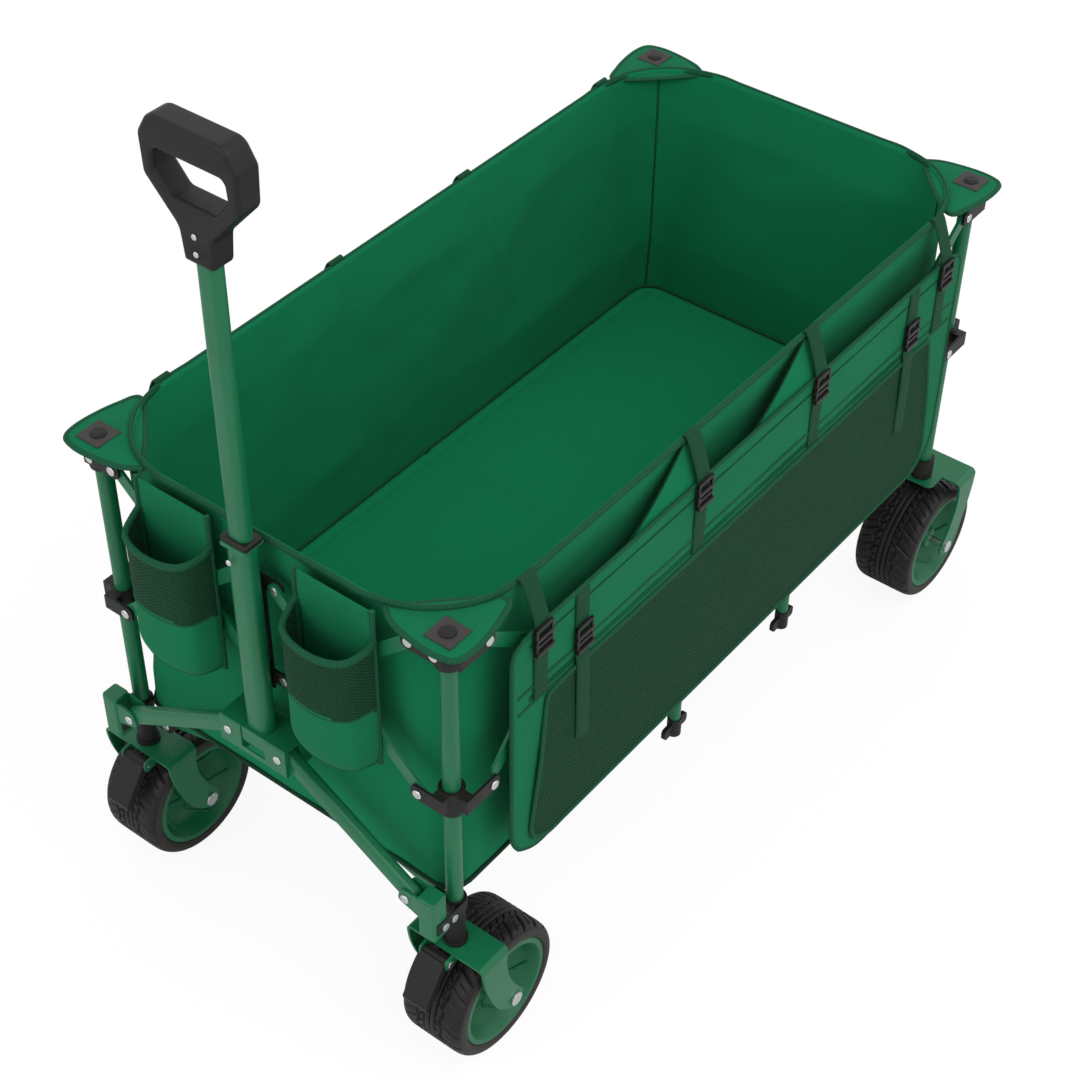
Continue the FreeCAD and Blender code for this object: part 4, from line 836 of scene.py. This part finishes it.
# ------------------------------------------------------------------ cup pockets
def add_cup_pockets():
    low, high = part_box("cup_pockets")
    back = low.x if low.x > 0.58 else 0.592
    depth = high.x - back
    outer = high.y
    inner = outer - 0.116
    middle, half = (outer + inner) / 2, (outer - inner) / 2
    foot, lip, join = low.z, low.z + 0.200, low.z + 0.095
    corner = 0.040

    def plan(t, shrink=0.0):
        """The pocket's outline seen from above, from one back edge round to the other."""
        points = [(back, -half), (back + depth - corner, -half),
                  (back + depth - corner * 0.29, -half + corner * 0.29),
                  (back + depth, -half + corner), (back + depth, half - corner),
                  (back + depth - corner * 0.29, half - corner * 0.29),
                  (back + depth - corner, half), (back, half)]
        return points

    for side, sign in SIDES:
        centre = middle
        samples, length = curve_through([Vector((x, y + centre, 0)) for x, y in plan(0)], 60)

        def edge_z(u):
            return lip - 0.016 * sin(pi * u) ** 0.6

        def place(u, v):
            point = along(samples, u).copy()
            tuck = max(0.0, 1 - v * 5)
            point.x = back + (point.x - back) * (1 - 0.22 * tuck ** 2)
            point.y = centre + (point.y - centre) * (1 - 0.10 * tuck ** 2)
            bulge = 0.003 * sin(pi * v) * noise.noise(Vector((u * 3, v * 2, sign)))
            point.x += bulge
            point.z = foot + (edge_z(u) - foot) * v
            return point

        bm = unit_grid(60, 40, place, (length, 0.2))
        for face in bm.faces:
            face.material_index = 1 if face.calc_center_median().z > join else 0
        made = piece(mirrored(bm, sign), "cup_pocket_" + side, ["panel", "cup_mesh"],
                     body="front_frame", replaces=("cup_pockets",))
        thicken(made, 0.0018)
        bm = unit_grid(12, 24, lambda u, v: Vector((
            back + 0.0008, centre + (u - 0.5) * 2 * half, foot + (high.z - 0.006 - foot) * v)),
            (2 * half, 0.25))
        plate = piece(mirrored(bm, sign), "cup_back_" + side, ["panel"],
                      body="front_frame")
        thicken(plate, 0.0016)
        bm = unit_grid(20, 10, lambda u, v: Vector((
            back + (place(u, 0).x - back) * v, centre + (place(u, 0).y - centre), foot + 0.001)),
            (0.1, 0.05))
        base = piece(mirrored(bm, sign), "cup_base_" + side, ["panel"],
                     body="front_frame")
        thicken(base, 0.0016)
        parts = [cord_along([place(k / 16, 1) for k in range(17)], 0.0040, 60, sides=8, flat=1.3),
                 cord_along([place(k / 16, 0.5) for k in range(17)], 0.0018, 60, sides=6),
                 cord_along([place(k / 16, 0.02) for k in range(17)], 0.0018, 60, sides=6)]
        for y in (-half, half):
            parts.append(cord_along([Vector((back + 0.001, centre + y, z)) for z in (
                foot, foot + 0.08, lip, high.z - 0.004)], 0.0034, 30, sides=8, up=(0, 1, 0)))
        piece(mirrored(joined(parts), sign), "cup_binding_" + side, ["piping"],
              body="front_frame")


# ------------------------------------------------------------------ corners
FLAP = ((9, -82), (24, -56), (32, -8), (29, 22), (18, 34), (-13, 36), (-57, 28), (-83, 13))


def add_corner_flaps():
    z0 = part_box("corner_flaps_front")[1].z
    for end, forward in ENDS:
        for side, sign in SIDES:
            post = Vector((POST_X, POST_Y, z0))
            ring = [post + Vector((x / 1000, y / 1000, 0)) for x, y in FLAP]
            closed = ring + [post + Vector((-0.040, -0.037, 0))]
            samples, length = curve_through(closed + closed[:1], 96)
            middle = post + Vector((-0.012, -0.012, 0))

            def place(u, v):
                edge = along(samples, u)
                point = middle.lerp(edge, v)
                point.z = z0 - 0.0014 - 0.0030 * v ** 4
                return point

            def finish(bm):
                return turned_about(mirrored(bm, sign), forward)

            body = end + "_frame"
            bm = finish(unit_grid(96, 14, place, (length, 0.05)))
            made = piece(bm, f"corner_flap_{end}_{side}", ["panel"], body=body,
                         replaces=("corner_flaps_" + end,))
            thicken(made, 0.0024)
            rim = [place(k / 48, 1.0) for k in range(48)]
            inner = [place(k / 48, 0.86) + Vector((0, 0, 0.0006)) for k in range(48)]
            piping = finish(cord_along(rim, 0.0038, 160, closed=True, sides=8, flat=0.8))
            piece(piping, f"flap_piping_{end}_{side}", ["piping"], body=body)
            stitch = finish(cord_along(inner, 0.0006, 120, closed=True, sides=5))
            piece(stitch, f"flap_stitch_{end}_{side}", ["seam"], body=body)


def add_corner_badges():
    for end, forward in ENDS:
        low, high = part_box("corner_badges_" + end)
        z = low.z - 0.0002
        x, y = POST_X, POST_Y
        patches, buttons = [], []
        for sign in (1, -1):
            patch = block((x - 0.019, y - 0.019, z), (x + 0.019, y + 0.019, z + 0.0014))
            patches.append(turned_about(mirrored(patch, sign), forward))
            for part in (disc((x, y, z + 0.0012), (0, 0, 1), 0.0105, 0.0022, 40, 0.94),
                         disc((x, y, z + 0.0030), (0, 0, 1), 0.0078, 0.0018, 40, 0.80)):
                buttons.append(turned_about(mirrored(part, sign), forward))
        made = piece(joined(patches), "corner_patches_" + end, ["patch"],
                     body=end + "_frame", replaces=("corner_badges_" + end,))
        soften(made, 0.0005)
        made = piece(joined(buttons), "corner_buttons_" + end, ["plastic"],
                     body=end + "_frame")
        soften(made, 0.0006, 3)


# ------------------------------------------------------------------ wheels
TYRE = ((0.0780, 0.0440), (0.0805, 0.0478), (0.0850, 0.0487), (0.0900, 0.0478), (0.0940, 0.0450),
        (0.0968, 0.0395), (0.0978, 0.0320), (0.0980, 0.0160), (0.0980, 0.0))
RIM_FACE = ((0.0062, 0.0340), (0.0120, 0.0340), (0.0150, 0.0325), (0.0190, 0.0200),
            (0.0240, 0.0135), (0.0420, 0.0120), (0.0560, 0.0165), (0.0645, 0.0280),
            (0.0690, 0.0440), (0.0710, 0.0465), (0.0770, 0.0470), (0.0785, 0.0455))


def ramp(value, low, high):
    return min(1.0, max(0.0, (value - low) / (high - low)))


def tread_height(angle, y):
    """1 on a block and 0 in a groove."""
    s = sizes()
    pitch = 2 * pi / s.tread_pitches
    place = abs(y)
    height = 1.0
    for groove in (0.0, 0.0085):
        height = min(height, ramp(abs(place - groove), 0.0007, 0.0015))
    phase = (angle / pitch + (0.5 if y < 0 else 0.0)) % 1.0
    zig = 0.0185 + 0.0022 * (abs(phase - 0.5) * 4 - 1)
    height = min(height, ramp(abs(place - zig), 0.0010, 0.0020))
    if 0.0095 < place < zig:
        cross = abs(((angle / pitch) * 2 + place * 60) % 1.0 - 0.5) * pitch / 2 * 0.098
        height = min(height, ramp(cross, 0.0008, 0.0017))
    if place > zig:
        slant = (phase + (place - 0.02) * 18) % 1.0
        cross = min(abs(slant - 0.5), 1.0) * pitch * 0.098
        height = min(height, ramp(cross, 0.0013, 0.0026))
        cut = abs((slant + 0.5) % 1.0 - 0.5) * pitch * 0.098
        if 0.026 < place < 0.040:
            height = min(height, 0.45 + 0.55 * ramp(cut, 0.0004, 0.0012))
    return height


def add_tyres():
    s = sizes()
    half = [Vector((r, y, 0)) for r, y in TYRE]
    profile = [Vector((p.x, -p.y, 0)) for p in half] + half[-2::-1]
    samples, length = curve_through(profile, 108)
    for end, side in ((e, w) for e in ("front", "rear") for w in ("left", "right")):
        low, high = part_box(f"tyre_{end}_{side}")
        centre = (low + high) / 2

        def place(u, v):
            point = along(samples, v)
            angle = 2 * pi * u
            depth = s.tread_depth * ramp(point.x, 0.0925, 0.0955)
            radius = point.x - depth * (1 - tread_height(angle, point.y))
            return centre + Vector((radius * cos(angle), point.y, radius * sin(angle)))

        bm = unit_grid(528, 108, place, (0.6, length))
        for face in bm.faces:
            mid = face.calc_center_median() - centre
            face.material_index = 1 if sqrt(mid.x ** 2 + mid.z ** 2) < 0.0915 else 0
        piece(bm, f"tread_{end}_{side}", ["rubber", "sidewall"],
              body=f"wheel_{end}_{side}", replaces=(f"tyre_{end}_{side}",), sharp=50)


def dish_y(radius):
    """How far out the rim's face stands at a radius."""
    for (r0, y0), (r1, y1) in zip(RIM_FACE, RIM_FACE[1:]):
        if r0 <= radius <= r1:
            return y0 + (y1 - y0) * (radius - r0) / (r1 - r0)
    return RIM_FACE[0][1]


def add_rims():
    for end, side in ((e, w) for e in ("front", "rear") for w in ("left", "right")):
        low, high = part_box(f"rim_{end}_{side}")
        centre = (low + high) / 2
        profile = [(r, y) for r, y in RIM_FACE] + [(r, -y) for r, y in RIM_FACE[::-1]]
        parts = [spun(profile, centre, 96)]
        for face_side in (1, -1):
            for k in range(6):
                line = []
                for j in range(9):
                    share = j / 8
                    radius = 0.0235 + 0.0420 * share
                    angle = 2 * pi * k / 6 + 0.55 * sin(pi * share) * face_side + 0.25 * share
                    line.append(centre + Vector((radius * cos(angle),
                                                 face_side * (dish_y(radius) + 0.0004),
                                                 radius * sin(angle))))
                parts.append(cord_along(line, 0.0021, 18, sides=6, up=(0, 1, 0)))
        piece(joined(parts), f"rim_face_{end}_{side}", ["rim"],
              body=f"wheel_{end}_{side}", replaces=(f"rim_{end}_{side}",), sharp=38)


# ------------------------------------------------------------------ frame
METAL = {
    "frame_paint": (
        "front_posts", "rear_posts", "rear_forks", "middle_posts_front", "middle_posts_rear",
        "front_end_bars", "rear_end_bars", "diagonals_front", "diagonals_rear", "struts_front",
        "struts_rear", "centre_bars_inner", "centre_bars_outer", "uprights", "pull_arms",
        "caster_fork_left", "caster_fork_right", "handle_lower_tube", "handle_upper_tube",
        "handle_block"),
    "black_plastic": (
        "front_caps", "rear_caps", "front_middle_brackets", "rear_middle_brackets",
        "swivel_sleeves", "rear_base_sleeves", "front_end_hubs", "rear_end_hubs",
        "middle_hubs_front", "middle_hubs_rear", "clamp_straps", "brake_pedal_left", "brake_pedal_right", "grip"),
    "steel": (
        "front_fasteners", "rear_fasteners", "caster_hardware_left", "caster_hardware_right",
        "grip_screws"),
}
SLOT_FINISH = {"frame_paint": "paint", "black_plastic": "plastic", "steel": "steel"}
WIDE_EDGES = {"grip": 0.0045, "handle_block": 0.0028, "front_caps": 0.0016, "rear_caps": 0.0016,
              "swivel_sleeves": 0.0012, "brake_pedal_left": 0.0016, "brake_pedal_right": 0.0016,
              "handle_collar": 0.0016, "handle_lower_tube": 0.0040, "handle_upper_tube": 0.0034,
              "caster_fork_left": 0.0012, "caster_fork_right": 0.0012, "rear_forks": 0.0012,
              "clamp_straps": 0.0012, "uprights": 0.0022, "pull_arms": 0.0030}


def add_collar():
    """The thin ring where the upper tube leaves the lower one, and the rivet below it."""
    low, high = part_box("handle_collar")
    tube_low, tube_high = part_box("handle_lower_tube")
    rise = 0.009
    made = piece(block((low.x + 0.0008, low.y + 0.0008, high.z - rise),
                       (high.x - 0.0008, high.y - 0.0008, high.z)),
                 "handle_ring", ["plastic"], body="handle_lower",
                 replaces=("handle_collar",))
    soften(made, 0.0035, 4)
    neck = piece(block((tube_low.x, tube_low.y, tube_high.z - 0.004),
                       (tube_high.x, tube_high.y, high.z - rise + 0.002)),
                 "handle_neck", ["paint"], body="handle_lower")
    soften(neck, 0.0034, 3)
    rivet = piece(disc((tube_high.x, -0.006, 0.731), (1, 0, 0), 0.0042, 0.0016, 24, 0.7),
                  "handle_rivet", ["steel"], body="handle_lower")
    soften(rivet, 0.0005)


def refine(node, slot):
    """A copy of a CAD node, merged and with its edges rounded."""
    bm = bmesh.new()
    bm.from_mesh(frame["nodes"][node].data)
    bmesh.ops.remove_doubles(bm, verts=bm.verts, dist=2e-5)
    bmesh.ops.dissolve_limit(bm, angle_limit=radians(1.0), verts=bm.verts, edges=bm.edges)
    made = piece(bm, "smooth_" + node, [SLOT_FINISH[slot]], body=BODY_OF[node],
                 replaces=(node,), recalc=False)
    soften(made, WIDE_EDGES.get(node, sizes().edge), 3 if node in WIDE_EDGES else 2)


# ------------------------------------------------------------------ stage
def add_stage():
    scene = bpy.context.scene
    scene.view_settings.view_transform = "Standard"
    world = bpy.data.worlds.new("white")
    scene.world = world
    world.use_nodes = True
    tree = world.node_tree
    tree.nodes.clear()
    path = tree.nodes.new("ShaderNodeLightPath")
    seen = tree.nodes.new("ShaderNodeMath")
    seen.operation = "MAXIMUM"
    also = tree.nodes.new("ShaderNodeMath")
    also.operation = "MAXIMUM"
    tree.links.new(path.outputs["Is Camera Ray"], seen.inputs[0])
    tree.links.new(path.outputs["Is Transmission Ray"], seen.inputs[1])
    tree.links.new(seen.outputs[0], also.inputs[0])
    tree.links.new(path.outputs["Is Glossy Ray"], also.inputs[1])
    mix = tree.nodes.new("ShaderNodeMixShader")
    for index, strength in ((1, 0.62), (2, 1.0)):
        light = tree.nodes.new("ShaderNodeBackground")
        light.inputs["Color"].default_value = (1, 1, 1, 1)
        light.inputs["Strength"].default_value = strength
        tree.links.new(light.outputs[0], mix.inputs[index])
    tree.links.new(also.outputs[0], mix.inputs[0])
    output = tree.nodes.new("ShaderNodeOutputWorld")
    tree.links.new(mix.outputs[0], output.inputs[0])

    material = bpy.data.materials.new("white_floor")
    material.use_nodes = True
    tree = material.node_tree
    shader = tree.nodes["Principled BSDF"]
    shader.inputs["Base Color"].default_value = (0.86, 0.86, 0.86, 1)
    shader.inputs["Roughness"].default_value = 1.0
    shader.inputs["Specular IOR Level"].default_value = 0.0
    glow = tree.nodes.new("ShaderNodeEmission")
    glow.inputs["Strength"].default_value = 1.06
    mix = tree.nodes.new("ShaderNodeMixShader")
    path = tree.nodes.new("ShaderNodeLightPath")
    share = tree.nodes.new("ShaderNodeMath")
    share.operation = "MULTIPLY"
    share.inputs[1].default_value = 0.86
    tree.links.new(path.outputs["Is Camera Ray"], share.inputs[0])
    tree.links.new(share.outputs[0], mix.inputs[0])
    tree.links.new(shader.outputs[0], mix.inputs[1])
    tree.links.new(glow.outputs[0], mix.inputs[2])
    tree.links.new(mix.outputs[0], tree.nodes["Material Output"].inputs[0])
    bm = bmesh.new()
    bmesh.ops.create_grid(bm, x_segments=1, y_segments=1, size=14)
    bmesh.ops.translate(bm, vec=(0, 0, CAD_BOX[0].z - 0.0005), verts=bm.verts)
    mesh = bpy.data.meshes.new("floor")
    bm.to_mesh(mesh)
    bm.free()
    mesh.materials.append(material)
    floor = bpy.data.objects.new("floor", mesh)
    scene.collection.objects.link(floor)

    for name, place, energy, width in (("key", (0.6, 2.2, 3.6), 42.0, 2.4),
                                       ("front", (3.4, -0.6, 2.2), 20.0, 1.8),
                                       ("rear", (-3.0, 1.0, 2.6), 12.0, 2.0)):
        lamp = bpy.data.lights.new(name, "AREA")
        lamp.energy = energy
        lamp.size = width
        made = bpy.data.objects.new(name, lamp)
        made.location = place
        aim = Vector((0, 0, 0.5)) - Vector(place)
        made.rotation_euler = aim.to_track_quat("-Z", "Y").to_euler()
        scene.collection.objects.link(made)

    camera = bpy.data.cameras.new("camera")
    camera.lens = 71.722
    camera.sensor_width = 36.0
    made = bpy.data.objects.new("camera", camera)
    pitch, yaw, roll = radians(-42.283), radians(217.337), radians(0.794)
    ahead = Vector((cos(pitch) * cos(yaw), cos(pitch) * sin(yaw), sin(pitch)))
    right = ahead.cross(Vector((0, 0, 1))).normalized()
    over = right.cross(ahead)
    level_right = right * cos(roll) + over * sin(roll)
    level_over = over * cos(roll) - right * sin(roll)
    made.matrix_world = Matrix((
        (level_right.x, level_over.x, -ahead.x, 1.8187),
        (level_right.y, level_over.y, -ahead.y, 1.3470),
        (level_right.z, level_over.z, -ahead.z, 2.3837),
        (0, 0, 0, 1)))
    scene.collection.objects.link(made)
    scene.camera = made


# ------------------------------------------------------------------ operators
class WagonStep:
    """What every step shares: it builds, and says that it finished."""
    bl_options = {"REGISTER", "UNDO"}

    def execute(self, context):
        self.build()
        return {"FINISHED"}


class WAGON_OT_materials(WagonStep, bpy.types.Operator):
    """Makes the materials"""
    bl_idname = "wagon.materials"
    bl_label = "Materials"

    def build(self):
        build_materials()


class WAGON_OT_tub(WagonStep, bpy.types.Operator):
    """Adds the tub's walls, bindings and seams"""
    bl_idname = "wagon.tub"
    bl_label = "Tub"

    def build(self):
        walls = tub_walls()
        add_rim_binding()
        add_tub_seams()


class WAGON_OT_floor(WagonStep, bpy.types.Operator):
    """Adds the tub's floor and its padded board"""
    bl_idname = "wagon.tub_floor"
    bl_label = "Tub floor"

    def build(self):
        add_floor()


class WAGON_OT_sides(WagonStep, bpy.types.Operator):
    """Adds the side panels, their pockets and the covers of the middle posts"""
    bl_idname = "wagon.sides"
    bl_label = "Sides"

    def build(self):
        add_side_panels()
        add_stitching()
        add_mesh_pockets()
        add_middle_covers()


class WAGON_OT_straps(WagonStep, bpy.types.Operator):
    """Adds the straps and buckles of the sides"""
    bl_idname = "wagon.straps"
    bl_label = "Straps and buckles"

    def build(self):
        add_straps()
        add_buckles()


class WAGON_OT_cups(WagonStep, bpy.types.Operator):
    """Adds the two cup pockets"""
    bl_idname = "wagon.cups"
    bl_label = "Cup pockets"

    def build(self):
        add_cup_pockets()


class WAGON_OT_corners(WagonStep, bpy.types.Operator):
    """Adds the flaps over the posts, with their patches and buttons"""
    bl_idname = "wagon.corners"
    bl_label = "Corners"

    def build(self):
        add_corner_flaps()
        add_corner_badges()


class WAGON_OT_wheels(WagonStep, bpy.types.Operator):
    """Adds the tyres and rims"""
    bl_idname = "wagon.wheels"
    bl_label = "Wheels"

    def build(self):
        add_tyres()
        add_rims()


class WAGON_OT_metal(WagonStep, bpy.types.Operator):
    """Rounds the edges of the frame, the moulded parts and the fasteners"""
    bl_idname = "wagon.metal"
    bl_label = "Frame"

    def build(self):
        for slot, nodes in METAL.items():
            for node in nodes:
                refine(node, slot)
        add_collar()


class WAGON_OT_stage(WagonStep, bpy.types.Operator):
    """Adds the camera, lights, floor and backdrop"""
    bl_idname = "wagon.stage"
    bl_label = "Stage"

    def build(self):
        add_stage()


STEPS = (WAGON_OT_materials, WAGON_OT_tub, WAGON_OT_floor, WAGON_OT_sides, WAGON_OT_straps,
         WAGON_OT_cups, WAGON_OT_corners, WAGON_OT_wheels, WAGON_OT_metal, WAGON_OT_stage)


class WAGON_PT_steps(bpy.types.Panel):
    """Lists the steps in the sidebar"""
    bl_label = "Folding wagon"
    bl_idname = "WAGON_PT_steps"
    bl_space_type = "VIEW_3D"
    bl_region_type = "UI"
    bl_category = "Wagon"

    def draw(self, context):
        for step in STEPS:
            self.layout.operator(step.bl_idname)


CLASSES = (WagonSizes, WagonColours) + STEPS + (WAGON_PT_steps,)


def register():
    for each in CLASSES:
        bpy.utils.register_class(each)
    bpy.types.Scene.wagon_sizes = bpy.props.PointerProperty(type=WagonSizes)
    bpy.types.Scene.wagon_colours = bpy.props.PointerProperty(type=WagonColours)


def unregister():
    del bpy.types.Scene.wagon_colours
    del bpy.types.Scene.wagon_sizes
    for each in reversed(CLASSES):
        bpy.utils.unregister_class(each)


def main():
    register()
    bpy.ops.wagon.materials()
    bpy.ops.wagon.tub()
    bpy.ops.wagon.tub_floor()
    bpy.ops.wagon.sides()
    bpy.ops.wagon.straps()
    bpy.ops.wagon.cups()
    bpy.ops.wagon.corners()
    bpy.ops.wagon.wheels()
    bpy.ops.wagon.metal()
    bpy.ops.wagon.stage()


if __name__ == "__main__":
    main()
